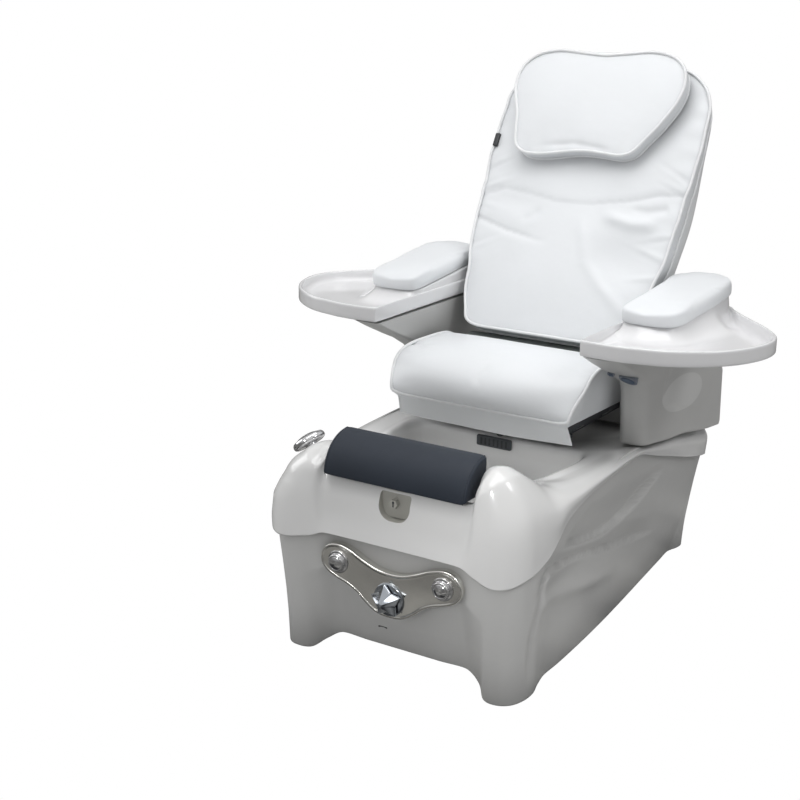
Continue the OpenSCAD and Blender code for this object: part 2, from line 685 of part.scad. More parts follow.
// side profile of the cushion, [y, z]
seat_profile = [[-186, 560], [-206, 574], [-218, 606], [-216, 640], [-198, 668],
  [-160, 685], [-90, seat_top], [0, 686], [92, 668], [100, 655], [100, 560]];
module seat_cushion() color(VINYL)
  side_prism(-seat_half_w, seat_half_w) polygon(seat_profile);
module seat_skirt() color(VINYL) translate([-skirt_half_w, -178, 513])
  cube([2 * skirt_half_w, 7, 46]);
module recline_motor() color(DARK) translate([0, -120, recline_z]) rotate(TO_REAR)
  difference() {
    union() {
      cylinder(r = 13, h = 150);
      translate([-16, -28, 0]) cube([32, 30, 40]);
    }
    translate([0, 0, 9]) cylinder(r = recline_r + FIT, h = 150);
  }
// rod with a slotted fork at its rear end
module recline_rod() color("silver") {
  translate([0, -60, recline_z]) rotate(TO_REAR) cylinder(r = recline_r, h = 176);
  for (side = SIDES) difference() {
    translate([side * 12 - 3, 112, 467]) cube([6, 56, 42]);
    translate([side * 12 - 4, 141.5, 471]) cube([8, 17, 32]);
  }
  translate([-14, 104, 473]) cube([28, 10, 17]);
}
module hinge_pins() color("silver") for (side = SIDES)
  translate([side * 174 - 24, hinge_y, hinge_z]) rotate(TO_RIGHT)
    cylinder(r = hinge_r, h = 48);

// ---------- backrest, drawn in its own frame: x across, y depth, z up the back
back_y = 110;            // foot of the cushion face
back_z = 700;
module at_back() translate([0, back_y, back_z]) rotate([-back_lean, 0, 0]) children();
// a plate with an [x, z] outline between two depths
module plate(outline, y0, y1) translate([0, y1, 0]) rotate(TO_FRONT)
  linear_extrude(y1 - y0) polygon(outline);
// right half of the outline, bottom centre to top centre
back_outline = both_halves(smooth_open([[0, 0], [120, 0], [200, 2], [230, 16],
  [241, 45], [256, 90], [270, 170], [281, 233], [289, 321], [295, 400], [298, 480],
  [299, 560], [299, 630], [295, 675], [280, 712], [254, 745], [218, 770], [160, 788],
  [80, back_len], [0, back_len]], 2));
module back_cushion() color(VINYL) at_back() plate(back_outline, 0, back_pad_t);
// hollow shell, notched at the foot
module back_shell() color(SHELL_GREY) at_back() difference() {
  plate(inset_outline(back_outline, 3), back_pad_t + 1, back_shell_m);
  plate(inset_outline(back_outline, 9), back_pad_t - 2, back_shell_m - 6);
  translate([-206, back_pad_t - 2, -20]) cube([412, 64, 40]);
}
// hinge axis seen in the frame of the back
module at_hinge() translate([0,
  (hinge_y - back_y) * cos(back_lean) - (hinge_z - back_z) * sin(back_lean),
  (hinge_y - back_y) * sin(back_lean) + (hinge_z - back_z) * cos(back_lean)]) children();
bar = 24;
bar_y = 78;
crank_len = 110;
module back_frame() color(STEEL) at_back() {
  for (side = SIDES) translate([side * 172 - bar / 2, bar_y, -60]) cube([bar, bar, 780]);
  for (z = [30, 600, 700]) translate([-161, bar_y, z]) cube([322, bar, bar]);
  // hinge tube
  at_hinge() rotate(TO_RIGHT) difference() {
    translate([0, 0, -184]) cylinder(r = 15.5, h = 368);
    for (z = [-185, 148]) translate([0, 0, z]) cylinder(r = hinge_r + FIT, h = 37);
  }
  // crank hanging from the tube, with a cross pin for the recline fork
  at_hinge() rotate([back_lean, 0, 0]) {
    translate([-5, -11, -crank_len]) cube([10, 22, 98]);
    translate([-16, 0, -crank_len]) rotate(TO_RIGHT) cylinder(r = 5.5, h = 32);
    translate([0, 0, -crank_len]) rotate(TO_RIGHT) translate([0, 0, -5])
      cylinder(r = 11, h = 10);
  }
}
module back_tab() color(DARK) at_back() translate([-303.5, 14, 516]) cube([4, 24, 22]);

massage_x = 60;
massage_y = 90;
massage_r = 7;
axle_y = 84;
axle_z = 254;
axle_r = 5;
module massage_rails() color("silver") at_back() for (side = SIDES)
  translate([side * massage_x, massage_y, 54.2]) cylinder(r = massage_r, h = 545.6);
// blocks on the rails, rear plate, two lugs for the roller axle
module massage_carriage() color(DARK) at_back() {
  for (side = SIDES) difference() {
    translate([side * massage_x - 14, massage_y - 14, 180]) cube([28, 28, 60]);
    translate([side * massage_x, massage_y, 170]) cylinder(r = massage_r + FIT, h = 80);
  }
  translate([-74, 104, 180]) cube([148, 6, 100]);
  for (side = SIDES) difference() {
    translate([side * 40 - 3, 74, 236]) cube([6, 31, 36]);
    translate([side * 40 - 5, axle_y, axle_z]) rotate(TO_RIGHT)
      cylinder(r = axle_r + FIT, h = 10);
  }
}
module kneading_rollers() color(SHELL_WHITE) at_back() {
  translate([-43, axle_y, axle_z]) rotate(TO_RIGHT) cylinder(r = axle_r, h = 86);
  for (side = SIDES) translate([side * 18 - 7, 86, axle_z]) rotate(TO_RIGHT)
    cylinder(r = 16, h = 14);
}

// right half of the outline, bottom centre to top centre
pillow_outline = both_halves(smooth_open([[0, 480], [90, 484], [150, 490], [186, 512],
  [204, 560], [222, 610], [240, 655], [246, 700], [226, 742], [180, 770], [100, 778],
  [0, 771]], 2));
module head_pillow() color(VINYL) at_back() plate(pillow_outline, -pillow_t - 3, -3);
// flat strap over the top of the back, with a round rear edge
module pillow_strap() color(VINYL) at_back() {
  translate([-70, -40, back_len + 3]) cube([140, 110, 3]);
  translate([-70, 70, back_len + 4]) rotate(TO_RIGHT) cylinder(r = 3.5, h = 140);
}

lower_shell();
upper_shell();
base_frame();
levelling_feet();
drain_body();
drain_stopper();
drain_pipe();
jet_grille();
jet_housing();
jet_impeller();
jet_motor();
faucet_plate();
valve_bodies();
hot_handle();
cold_handle();
diverter_handle();
tub_spout();
shower_holder();
hand_shower();
supply_hoses();
water_inlets();
control_box();
service_panel();
panel_screws();
slide_rails();
slide_motor();
left_arm_pillar();
right_arm_pillar();
arm_bushes();
rocker_switch();
massage_button();
switch_bezels();
footrest_guide();
footrest_post();
footrest_pad();
footrest_knob();
seat_frame();
slide_blocks();
slide_rod();
seat_cushion();
seat_skirt();
recline_motor();
recline_rod();
hinge_pins();
back_frame();
back_shell();
back_cushion();
back_tab();
massage_rails();
massage_carriage();
kneading_rollers();
head_pillow();
pillow_strap();
left_tray();
right_tray();
left_arm_pad();
right_arm_pad();
left_swivel_pin();
right_swivel_pin();
rear_cover();
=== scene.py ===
# Looks for the pedicure spa chair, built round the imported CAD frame.
# The chair stands on z = 0 and faces -Y; right means +X, as seen from the front.
# Shapes are worked out in millimetres; materials, lights and camera are in metres.
import json
import math

import bmesh
import bpy
import numpy as np
from mathutils import Matrix, Vector


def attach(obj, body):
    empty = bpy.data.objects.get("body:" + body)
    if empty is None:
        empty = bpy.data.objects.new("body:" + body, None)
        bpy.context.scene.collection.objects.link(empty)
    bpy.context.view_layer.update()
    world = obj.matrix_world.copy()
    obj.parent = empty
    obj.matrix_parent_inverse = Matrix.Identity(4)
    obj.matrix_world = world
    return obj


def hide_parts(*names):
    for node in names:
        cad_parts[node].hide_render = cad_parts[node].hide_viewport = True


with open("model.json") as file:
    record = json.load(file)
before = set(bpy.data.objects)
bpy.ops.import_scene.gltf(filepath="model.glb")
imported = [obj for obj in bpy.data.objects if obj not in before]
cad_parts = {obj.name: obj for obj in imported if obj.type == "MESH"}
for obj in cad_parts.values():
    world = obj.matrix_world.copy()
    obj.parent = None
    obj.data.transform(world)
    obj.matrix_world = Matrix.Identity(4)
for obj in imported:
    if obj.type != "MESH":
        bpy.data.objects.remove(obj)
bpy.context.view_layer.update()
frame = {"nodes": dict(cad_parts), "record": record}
scene = bpy.context.scene
scene.view_settings.view_transform = "Standard"
scene.view_settings.look = "None"
SIN30, COS30 = 0.5, math.cos(math.radians(30))
MIRROR = np.array([-1, 1, 1])


# ------------------------------------------------------------ curves and numbers
def norm(v):
    return np.linalg.norm(v, axis=-1, keepdims=True)


def ease(t):
    t = np.clip(t, 0, 1)
    return t * t * (3 - 2 * t)


def bell(v, centre, width):
    return np.exp(-((v - centre) / width) ** 2)


def lookup(v, pairs):
    """Straight-line table lookup in (v, value) pairs."""
    return np.interp(v, *np.transpose(pairs))


def square_to(v, axis):
    """Unit vector: the part of v square to a unit axis."""
    flat = v - axis * np.dot(v, axis)
    return flat / norm(flat)


def noise2(x, y, seed):
    """Cheap smooth noise made of turned sine waves, in -1..1."""
    rng = np.random.default_rng(seed)
    out = np.zeros_like(x, float)
    for octave in range(3):
        for _ in range(4):
            turn, phase = rng.uniform(0, math.tau), rng.uniform(0, math.tau)
            wave = (x * math.cos(turn) + y * math.sin(turn)) * (2.0**octave) + phase
            out += np.sin(wave) / 2.0**octave
    return out / 6


def hermite(points, params, closed=False, pull=1.0):
    """Smooth curve through points (n, ..., 3), kept tight where their spacing changes."""
    points = np.asarray(points, float)
    count = len(points)
    chord = np.roll(points, -1, 0) - points
    if not closed:
        chord = chord[:-1]
    length = norm(chord) + 1e-9
    unit = chord / length

    def lean(unit0, unit1, length0, length1):
        total = unit0 + unit1
        return total / np.maximum(norm(total), 1e-6) * np.minimum(length0, length1) * pull

    if closed:
        slope = lean(unit, np.roll(unit, 1, 0), length, np.roll(length, 1, 0))
    else:
        slope = np.zeros_like(points)
        slope[0], slope[-1] = chord[0], chord[-1]
        slope[1:-1] = lean(unit[1:], unit[:-1], length[1:], length[:-1])
    params = np.asarray(params, float)
    start = np.floor(params + 1e-9).astype(int)
    if not closed:
        start = np.clip(start, 0, count - 2)
    f = (params - start).reshape((-1,) + (1,) * (points.ndim - 1))
    stop = (start + 1) % count
    start = start % count
    return (points[start] * (2 * f**3 - 3 * f**2 + 1) + slope[start] * (f**3 - 2 * f**2 + f)
            + points[stop] * (-2 * f**3 + 3 * f**2) + slope[stop] * (f**3 - f**2))


def resample(points, count, closed=False):
    """Evenly spaced points along a polyline."""
    points = np.asarray(points, float)
    if closed:
        points = np.vstack([points, points[:1]])
    steps = np.linalg.norm(np.diff(points, axis=0), axis=1)
    run = np.concatenate([[0], np.cumsum(steps)])
    at = np.linspace(0, run[-1], count + 1 if closed else count)
    if closed:
        at = at[:-1]
    return np.stack([np.interp(at, run, column) for column in points.T], 1)


def smooth_curve(points, count, closed=False):
    spans = len(points) if closed else len(points) - 1
    params = np.linspace(0, spans, spans * 12 + 1)
    if closed:
        params = params[:-1]
    return resample(hermite(points, params, closed), count, closed)


def mirrored(half):
    """Closed outline from its right half; the first and last points lie on x = 0."""
    left = half[1:-1][::-1].copy()
    left[:, 0] *= -1
    return np.vstack([half, left])


def rounded(profile, radius=1.5, steps=4):
    """Small rounds at the inner corners of an open profile."""
    points = [np.asarray(p, float) for p in profile]
    out = [points[0]]
    for before, corner, after in zip(points, points[1:], points[2:]):
        d0, d1 = np.linalg.norm(before - corner), np.linalg.norm(after - corner)
        cut = min(radius, 0.45 * d0, 0.45 * d1)
        p0 = corner + (before - corner) / max(d0, 1e-9) * cut
        p1 = corner + (after - corner) / max(d1, 1e-9) * cut
        for i in range(steps + 1):
            t = i / steps
            out.append((1 - t) ** 2 * p0 + 2 * t * (1 - t) * corner + t * t * p1)
    out.append(points[-1])
    return np.array(out)


def at_depth(points, depth):
    return np.column_stack([points, np.full(len(points), depth)])


def at_x(x, points):
    return np.column_stack([np.full(len(points), x), points])


def stations(ends, span, count):
    """(x, scale) from left to right: given ends mirrored about a full-size middle."""
    middle = [(x, 1.0) for x in np.linspace(-span, span, count)]
    return [(-x, scale) for x, scale in ends] + middle + ends[::-1]


# ------------------------------------------------------------ faces and meshes
def grid_faces(rows, cols, wrap=False, wrap_rows=False, flip=False):
    faces = []
    for i in range(rows if wrap_rows else rows - 1):
        for j in range(cols if wrap else cols - 1):
            i1, j1 = (i + 1) % rows, (j + 1) % cols
            a, b, c, d = i * cols + j, i * cols + j1, i1 * cols + j1, i1 * cols + j
            faces.append((a, d, c, b) if flip else (a, b, c, d))
    return faces


def fan(first, count, apex, back=False):
    """Triangles from the ring starting at vertex first to an apex."""
    pairs = [(first + j, first + (j + 1) % count) for j in range(count)]
    return [(b, a, apex) if back else (a, b, apex) for a, b in pairs]


def capped_faces(rows, cols):
    """Rings joined and closed on two apexes that follow them."""
    total = rows * cols
    return (grid_faces(rows, cols, wrap=True) + fan(0, cols, total)
            + fan(total - cols, cols, total + 1, back=True))


def border(rows, cols):
    """Vertex numbers round the edge of a grid."""
    return (list(range(cols)) + [i * cols + cols - 1 for i in range(1, rows)]
            + [(rows - 1) * cols + j for j in range(cols - 2, -1, -1)]
            + [i * cols for i in range(rows - 2, 0, -1)])


def band(a, b):
    """Quads between two closed lists of vertex numbers."""
    n = len(a)
    return [(a[i], b[i], b[(i + 1) % n], a[(i + 1) % n]) for i in range(n)]


def sheet(front, back):
    """Thin closed sheet between two grids of points (rows, cols, 3)."""
    rows, cols = front.shape[:2]
    count = rows * cols
    faces = grid_faces(rows, cols)
    faces += [tuple(q + count for q in f[::-1]) for f in faces]
    edge = border(rows, cols)
    faces += band(edge, [q + count for q in edge])
    return np.concatenate([front.reshape(-1, 3), back.reshape(-1, 3)]), faces


def join(parts):
    verts, faces, count = [], [], 0
    for points, part_faces in parts:
        verts.append(np.asarray(points, float).reshape(-1, 3))
        faces += [tuple(i + count for i in f) for f in part_faces]
        count += len(verts[-1])
    return np.vstack(verts), faces


def link(ob):
    scene.collection.objects.link(ob)
    return ob


def add(name, verts, faces, mat, body, replaced=None, sharp=None):
    """Smooth-shaded object from millimetre points, riding on a body of the frame."""
    me = bpy.data.meshes.new(name)
    coords = (np.asarray(verts, float).reshape(-1, 3) * 0.001).tolist()
    me.from_pydata(coords, [], [list(map(int, f)) for f in faces])
    me.validate()
    me.materials.append(mat)
    me.polygons.foreach_set("use_smooth", [True] * len(me.polygons))
    if sharp is not None:
        me.set_sharp_from_angle(angle=math.radians(sharp))
    me.update()
    ob = link(bpy.data.objects.new(name, me))
    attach(ob, body)
    if replaced:
        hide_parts(replaced)
    return ob


def recalc(ob, weld=None):
    """Turn normals outward, after merging vertices closer than weld metres."""
    bm = bmesh.new()
    bm.from_mesh(ob.data)
    if weld:
        bmesh.ops.remove_doubles(bm, verts=bm.verts, dist=weld)
    bmesh.ops.recalc_face_normals(bm, faces=bm.faces)
    bm.to_mesh(ob.data)
    bm.free()


def tube(name, path, radius, mat, body, closed=False, sides=12):
    path = np.asarray(path, float)
    count = len(path)
    if closed:
        ahead = np.roll(path, -1, 0) - np.roll(path, 1, 0)
    else:
        ahead = np.gradient(path, axis=0)
    ahead /= norm(ahead) + 1e-12
    first = np.cross(ahead[0], [0.0, 0.0, 1.0] if abs(ahead[0][2]) < 0.9 else [1.0, 0, 0])
    across = [first / norm(first)]
    for tangent in ahead[1:]:
        across.append(square_to(across[-1], tangent))
    across = np.array(across)
    upward = np.cross(ahead, across)
    if closed:  # spread the twist left over
        a = square_to(across[-1], ahead[0])
        twist = math.atan2(np.dot(np.cross(a, across[0]), ahead[0]), np.dot(a, across[0]))
        w = np.linspace(0, 1, count, endpoint=False)[:, None] * twist
        across, upward = (across * np.cos(w) + upward * np.sin(w),
                          upward * np.cos(w) - across * np.sin(w))
    angle = np.linspace(0, math.tau, sides, endpoint=False)[None, :, None]
    verts = path[:, None] + radius * (np.cos(angle) * across[:, None]
                                      + np.sin(angle) * upward[:, None])
    verts = verts.reshape(-1, 3)
    if closed:
        faces = grid_faces(count, sides, wrap=True, wrap_rows=True)
    else:
        verts = np.vstack([verts, path[:1], path[-1:]])
        faces = capped_faces(count, sides)
    return add(name, verts, faces, mat, body)


def revolve(profile, origin, axis, segments=64):
    """Turned form: profile of (radius, height) about an axis through origin."""
    axis = np.asarray(axis, float) / np.linalg.norm(axis)
    x = square_to(np.array([1.0, 0, 0]), axis)
    y = np.cross(axis, x)
    angle = np.linspace(0, math.tau, segments, endpoint=False)[None, :, None]
    profile = np.asarray(profile, float)
    verts = (np.asarray(origin, float) + profile[:, 1, None, None] * axis
             + profile[:, 0, None, None] * (np.cos(angle) * x + np.sin(angle) * y))
    return verts.reshape(-1, 3), grid_faces(len(profile), segments, wrap=True)


def slab(name, centre, axes, half, radius, mat, body, replaced=None):
    """Rounded block: centre, three axes, three half sizes and a corner radius."""
    axes = [np.asarray(a, float) / np.linalg.norm(a) for a in axes]
    a, b, depth = half
    outline = []
    for cx, cy, start in ((a - radius, b - radius, 0), (-(a - radius), b - radius, 90),
                          (-(a - radius), -(b - radius), 180), (a - radius, -(b - radius), 270)):
        for t in np.radians(np.linspace(start, start + 90, 7)):
            outline.append([cx + radius * math.cos(t), cy + radius * math.sin(t)])
    outline = np.array(outline)
    flat = outline[:, :1] * axes[0] + outline[:, 1:] * axes[1]
    edge = min(1.2, depth * 0.6)
    rings = [np.asarray(centre) + flat * scale + axes[2] * height for scale, height in (
        (0.0, -depth), (1 - edge / a, -depth), (1 - 0.3 * edge / a, -depth + 0.3 * edge),
        (1, -depth + edge), (1, depth - edge), (1 - 0.3 * edge / a, depth - 0.3 * edge),
        (1 - edge / a, depth), (0.0, depth))]
    faces = grid_faces(len(rings), len(outline), wrap=True)
    recalc(add(name, np.vstack(rings), faces, mat, body, replaced, sharp=50), weld=1e-6)


# ------------------------------------------------------------ soft pieces
def co_of(me):
    coords = np.zeros(len(me.vertices) * 3)
    me.vertices.foreach_get("co", coords)
    return coords.reshape(-1, 3)


def set_co(me, coords):
    me.vertices.foreach_set("co", np.asarray(coords, float).ravel())
    me.update()


CLOTH = dict(quality=6, mass=0.25, tension_stiffness=18.0, compression_stiffness=18.0,
             shear_stiffness=8, bending_stiffness=1.2, tension_damping=12,
             compression_damping=12, air_damping=3, vertex_group_mass="held",
             use_pressure=True)


def inflate(ob, pins, pressure, cap, frames=20):
    """Cloth pressure on a closed padded piece, moving no vertex more than cap mm."""
    rest = co_of(ob.data)
    held = ob.vertex_groups.new(name="held")
    held.add([int(i) for i in pins], 1.0, "REPLACE")
    cloth = ob.modifiers.new("padding", "CLOTH")
    for key, value in CLOTH.items():
        setattr(cloth.settings, key, value)
    cloth.settings.uniform_pressure_force = pressure
    cloth.settings.effector_weights.gravity = 0
    cloth.collision_settings.use_collision = False
    cloth.point_cache.frame_start, cloth.point_cache.frame_end = 1, frames
    for f in range(1, frames + 1):
        scene.frame_set(f)
    graph = bpy.context.evaluated_depsgraph_get()
    new = co_of(ob.evaluated_get(graph).to_mesh())
    ob.evaluated_get(graph).to_mesh_clear()
    ob.modifiers.remove(cloth)
    scene.frame_set(1)
    shift = new - rest
    length = norm(shift) + 1e-12
    limit = cap * 0.001
    new = rest + shift / length * limit * np.tanh(length / limit)
    if not np.isfinite(new).all():  # the simulation burst
        new = rest
    ob.vertex_groups.remove(held)
    set_co(ob.data, new)


def subdivide(ob):
    modifier = ob.modifiers.new("sub", "SUBSURF")
    modifier.levels = modifier.render_levels = 1
    graph = bpy.context.evaluated_depsgraph_get()
    me = bpy.data.meshes.new_from_object(ob.evaluated_get(graph))
    ob.modifiers.remove(modifier)
    ob.data = me
    me.polygons.foreach_set("use_smooth", [True] * len(me.polygons))


def line_distance(x, y, points):
    """Distance to a polyline, share of the way along it, and side (+ on its left)."""
    best = np.full(x.shape, 1e9)
    share = np.zeros_like(x)
    side = np.zeros_like(x)
    points = np.asarray(points, float)
    lengths = np.linalg.norm(np.diff(points, axis=0), axis=1)
    done = 0.0
    for a, b, length in zip(points, points[1:], lengths):
        d = (b - a) / length
        t = np.clip((x - a[0]) * d[0] + (y - a[1]) * d[1], 0, length)
        qx, qy = a[0] + d[0] * t, a[1] + d[1] * t
        gap = np.hypot(x - qx, y - qy)
        near = gap < best
        best = np.where(near, gap, best)
        share = np.where(near, (done + t) / lengths.sum(), share)
        side = np.where(near, np.sign(d[0] * (y - qy) - d[1] * (x - qx)), side)
        done += length
    return best, share, side


def ends(share, start, stop):
    """Fade over the first and last parts of a line; 0 leaves that end unfaded."""
    return ease(share / start if start > 0 else 1) * (ease((1 - share) / stop) if stop > 0 else 1)


def crease(x, y, points, width, start, stop):
    gap, share, _ = line_distance(x, y, points)
    return bell(gap, 0, width) * ends(share, start, stop)


def dimple(x, y, x_width, y_width, power=1.2):
    return np.exp(-((x / x_width) ** 2 + (y / y_width) ** 2) ** power)


# ------------------------------------------------------------ shader helpers
def feed(tree, target, inputs):
    """Set node inputs; a value that is a socket is linked instead."""
    for key, value in inputs.items():
        if isinstance(value, bpy.types.NodeSocket):
            tree.links.new(value, target.inputs[key])
        else:
            target.inputs[key].default_value = value


def node(tree, kind, inputs=None, **props):
    made = tree.nodes.new("ShaderNode" + kind)
    for key, value in props.items():
        setattr(made, key, value)
    feed(tree, made, inputs or {})
    return made


def map_range(tree, source, low, high, to_low, to_high, **props):
    inputs = {"From Min": low, "From Max": high, "To Min": to_low, "To Max": to_high}
    if source:
        inputs["Value"] = source
    return node(tree, "MapRange", inputs, **props).outputs["Result"]


def color_ramp(tree, *stops):
    """Ramp with two (position, color) stops."""
    ramp = node(tree, "ValToRGB")
    for element, (position, color) in zip(ramp.color_ramp.elements, stops):
        element.position, element.color = position, (*color, 1)
    return ramp


# relief kind: node, inputs, properties, output
RELIEFS = {"voronoi": ("TexVoronoi", {}, {"feature": "DISTANCE_TO_EDGE"}, "Distance"),
           "wave": ("TexWave", {"Distortion": 1.5}, {}, "Fac"),
           "noise": ("TexNoise", {"Detail": 5}, {}, "Fac")}


def material(name, color, rough=0.4, metal=0.0, coat=0.0, var=0.03, var_scale=6.0, bump=(),
             rough_var=0.05, rough_scale=30.0, spec=0.5, coat_rough=0.08, sheen=0.0, edge=0.0):
    """Principled material with drifting colour, uneven gloss and fine relief.
    bump lists (kind, scale per metre, distance in metres)."""
    mat = bpy.data.materials.new(name)
    mat.use_nodes = True
    tree = mat.node_tree
    shader = tree.nodes["Principled BSDF"]
    place = node(tree, "TexCoord").outputs["Object"]
    drift = node(tree, "TexNoise", {"Scale": var_scale, "Detail": 4, "Vector": place})
    tint = map_range(tree, drift.outputs["Fac"], 0.3, 0.7, 1.0 - var, 1.0 + var * 0.5)
    shade = node(tree, "Mix", {0: 1.0, 6: (*color, 1), 7: tint}, data_type="RGBA",
                 blend_type="MULTIPLY").outputs[2]
    if edge:  # wear: convex edges a little lighter
        geometry = node(tree, "NewGeometry")
        worn = map_range(tree, geometry.outputs["Pointiness"], 0.52, 0.62, 0, edge)
        pale = (*[min(1, c * 1.35 + 0.08) for c in color], 1)
        shade = node(tree, "Mix", {0: worn, 6: shade, 7: pale}, data_type="RGBA").outputs[2]
    gloss = node(tree, "TexNoise", {"Scale": rough_scale, "Detail": 3, "Vector": place})
    feed(tree, shader, {
        "Base Color": shade,
        "Roughness": map_range(tree, gloss.outputs["Fac"], 0, 1, max(0.01, rough - rough_var),
                               min(1, rough + rough_var)),
        "Metallic": metal, "Specular IOR Level": spec,
        "Coat Weight": coat, "Coat Roughness": coat_rough})
    if sheen:
        feed(tree, shader, {"Sheen Weight": sheen, "Sheen Roughness": 0.5})
    normal = None
    for relief_kind, scale, distance in bump:
        kind, inputs, props, output = RELIEFS[relief_kind]
        texture = node(tree, kind, {**inputs, "Scale": scale, "Vector": place}, **props)
        inputs = {"Strength": 0.6, "Distance": distance, "Height": texture.outputs[output]}
        if normal:
            inputs["Normal"] = normal
        normal = node(tree, "Bump", inputs).outputs["Normal"]
    if normal:
        feed(tree, shader, {"Normal": normal})
    return mat


def base_color(mat):
    """The material's tree, its shader and the socket feeding the base colour."""
    tree = mat.node_tree
    shader = tree.nodes["Principled BSDF"]
    return tree, shader, shader.inputs["Base Color"].links[0].from_socket


def hollow_shade(mat, distance, low):
    """Shade collects in hollows: ambient occlusion multiplied into the colour."""
    tree, shader, source = base_color(mat)
    ao = node(tree, "AmbientOcclusion", {"Distance": distance}, samples=8)
    amount = map_range(tree, ao.outputs["AO"], 0.35, 0.98, low, 1.0)
    mix = node(tree, "MixRGB", {"Fac": 1.0, "Color1": source, "Color2": amount},
               blend_type="MULTIPLY")
    feed(tree, shader, {"Base Color": mix.outputs["Color"]})


def pillar_painted_highlight(mat):
    """Painted highlight: pale oval on the outer face of the right pillar, where its facet catches
    the light.
    """
    tree, shader, source = base_color(mat)
    place = node(tree, "TexCoord").outputs["Object"]
    mapping = node(tree, "Mapping", vector_type="TEXTURE")
    feed(tree, mapping, {"Location": (0.352, 0.256, 0.567), "Vector": place,
                         "Rotation": (math.radians(-5), 0, 0), "Scale": (0.020, 0.135, 0.050)})
    reach = node(tree, "VectorMath", {0: mapping.outputs["Vector"]}, operation="LENGTH")
    amount = map_range(tree, reach.outputs["Value"], 1.04, 0.96, 0.0, 0.55,
                       interpolation_type="SMOOTHSTEP")
    mix = node(tree, "MixRGB", {"Fac": amount, "Color1": source, "Color2": (0.72, 0.72, 0.71, 1)})
    feed(tree, shader, {"Base Color": mix.outputs["Color"]})


# ------------------------------------------------------------ materials
WHITE = material("acrylic_white", (0.80, 0.80, 0.795), rough=0.20, coat=0.5, var=0.015,
                 var_scale=3, bump=[("noise", 9, 0.0006), ("noise", 700, 0.00002)],
                 rough_scale=14)
# painted shade: the lower moulding is the same white gel-coat as the upper one; this grey stands
# for the shade it sits in under light from above
GREY = material("fibreglass_painted_shade", (0.60, 0.60, 0.59), rough=0.36, coat=0.22, var_scale=4,
                bump=[("noise", 420, 0.00006), ("noise", 12, 0.0004)], coat_rough=0.2)
# painted shade: a still darker grey of the same gel-coat for the arm pillars and rear hood, whose
# sides sit in shade
PILLAR = material("fibreglass_painted_shade_arm", (0.54, 0.54, 0.53), rough=0.38, coat=0.2,
                  var_scale=4, bump=[("noise", 420, 0.00006)], coat_rough=0.2)
# painted shade: dark grey-green for the sheet that stands in for the shade in the gap between seat
# and backrest
GAP_SHADE = material("slot_shade_sheet_grey", (0.20, 0.225, 0.215), rough=0.8, var=0.1,
                 bump=[("noise", 300, 0.0003)])
JET = material("jet_cover_grey", (0.060, 0.068, 0.074), rough=0.45, var=0.06,
               bump=[("noise", 500, 0.00006)])
# painted shade: the mid grey of the deck in shade, given to the recline motor so that it blends
# into the shaded deck
SHADE = material("motor_deck_shade_grey", (0.42, 0.42, 0.42), rough=0.5, var=0.05,
                 bump=[("noise", 500, 0.00006)])
hollow_shade(GREY, distance=0.12, low=0.60)
hollow_shade(PILLAR, distance=0.10, low=0.68)
hollow_shade(WHITE, distance=0.07, low=0.80)
# painted highlight: pale oval on the right pillar where its facet catches the light
pillar_painted_highlight(PILLAR)
# painted shade: the niche belongs to the white upper shell; its darker beige grey stands for the
# shade in the recess under the footrest pad
NICHE = material("niche_painted_shade", (0.40, 0.395, 0.36), rough=0.42, var=0.04,
                 bump=[("noise", 500, 0.00005)])
TRAY = material("tray_acrylic", (0.83, 0.83, 0.84), rough=0.16, coat=0.6, var=0.012,
                var_scale=3, bump=[("noise", 8, 0.0005)], rough_var=0.04)
VINYL = material("vinyl_white", (0.82, 0.84, 0.86), rough=0.42, coat=0.08, var=0.02,
                 var_scale=5, rough_var=0.07, spec=0.45, coat_rough=0.3,
                 bump=[("voronoi", 620, 0.00018), ("noise", 1400, 0.00008),
                       ("noise", 26, 0.0012)])
hollow_shade(VINYL, distance=0.06, low=0.72)
VINYL_THIN = material("vinyl_gusset", (0.79, 0.81, 0.82), rough=0.45, coat=0.05, var_scale=8,
                      bump=[("voronoi", 620, 0.00018), ("noise", 30, 0.001)],
                      rough_var=0.07, spec=0.45)
PIPE = material("vinyl_piping", (0.84, 0.85, 0.86), rough=0.38, coat=0.1, var=0.02,
                bump=[("noise", 500, 0.00012)])
NAVY = material("vinyl_navy", (0.020, 0.027, 0.040), rough=0.55, var=0.10, var_scale=9,
                bump=[("voronoi", 640, 0.00016), ("noise", 40, 0.0008)], spec=0.30, sheen=0.06)
BACK = material("back_cover", (0.80, 0.81, 0.82), rough=0.42, var=0.02,
                bump=[("noise", 900, 0.00006)])
STAR = material("chrome_blue", (0.46, 0.49, 0.53), rough=0.16, metal=1.0, var=0.06,
                var_scale=30, bump=[("noise", 60, 0.0002)], rough_var=0.06, rough_scale=40)
PLATE = material("chrome_plate", (0.86, 0.85, 0.81), rough=0.2, metal=1.0, var=0.06,
                 var_scale=14, bump=[("noise", 30, 0.0003)], rough_var=0.06, rough_scale=40)
CHROME = material("chrome", (0.72, 0.72, 0.73), rough=0.09, metal=1.0, var=0.05,
                  var_scale=20, bump=[("noise", 45, 0.00025)], rough_scale=60)
BRIGHT = material("ground_steel", (0.55, 0.55, 0.56), rough=0.26, metal=1.0, var=0.05,
                  bump=[("noise", 900, 0.00004)])
STEEL = material("powder_coat", (0.055, 0.06, 0.068), rough=0.5, var=0.1,
                 bump=[("noise", 800, 0.00008)], edge=0.4)
DARK = material("dark_plastic", (0.030, 0.032, 0.036), rough=0.45, var=0.1,
                bump=[("noise", 900, 0.00006)], edge=0.3)
BLUE = material("switch_blue", (0.055, 0.085, 0.13), rough=0.3, coat=0.3, var=0.08,
                bump=[("noise", 400, 0.00004)])
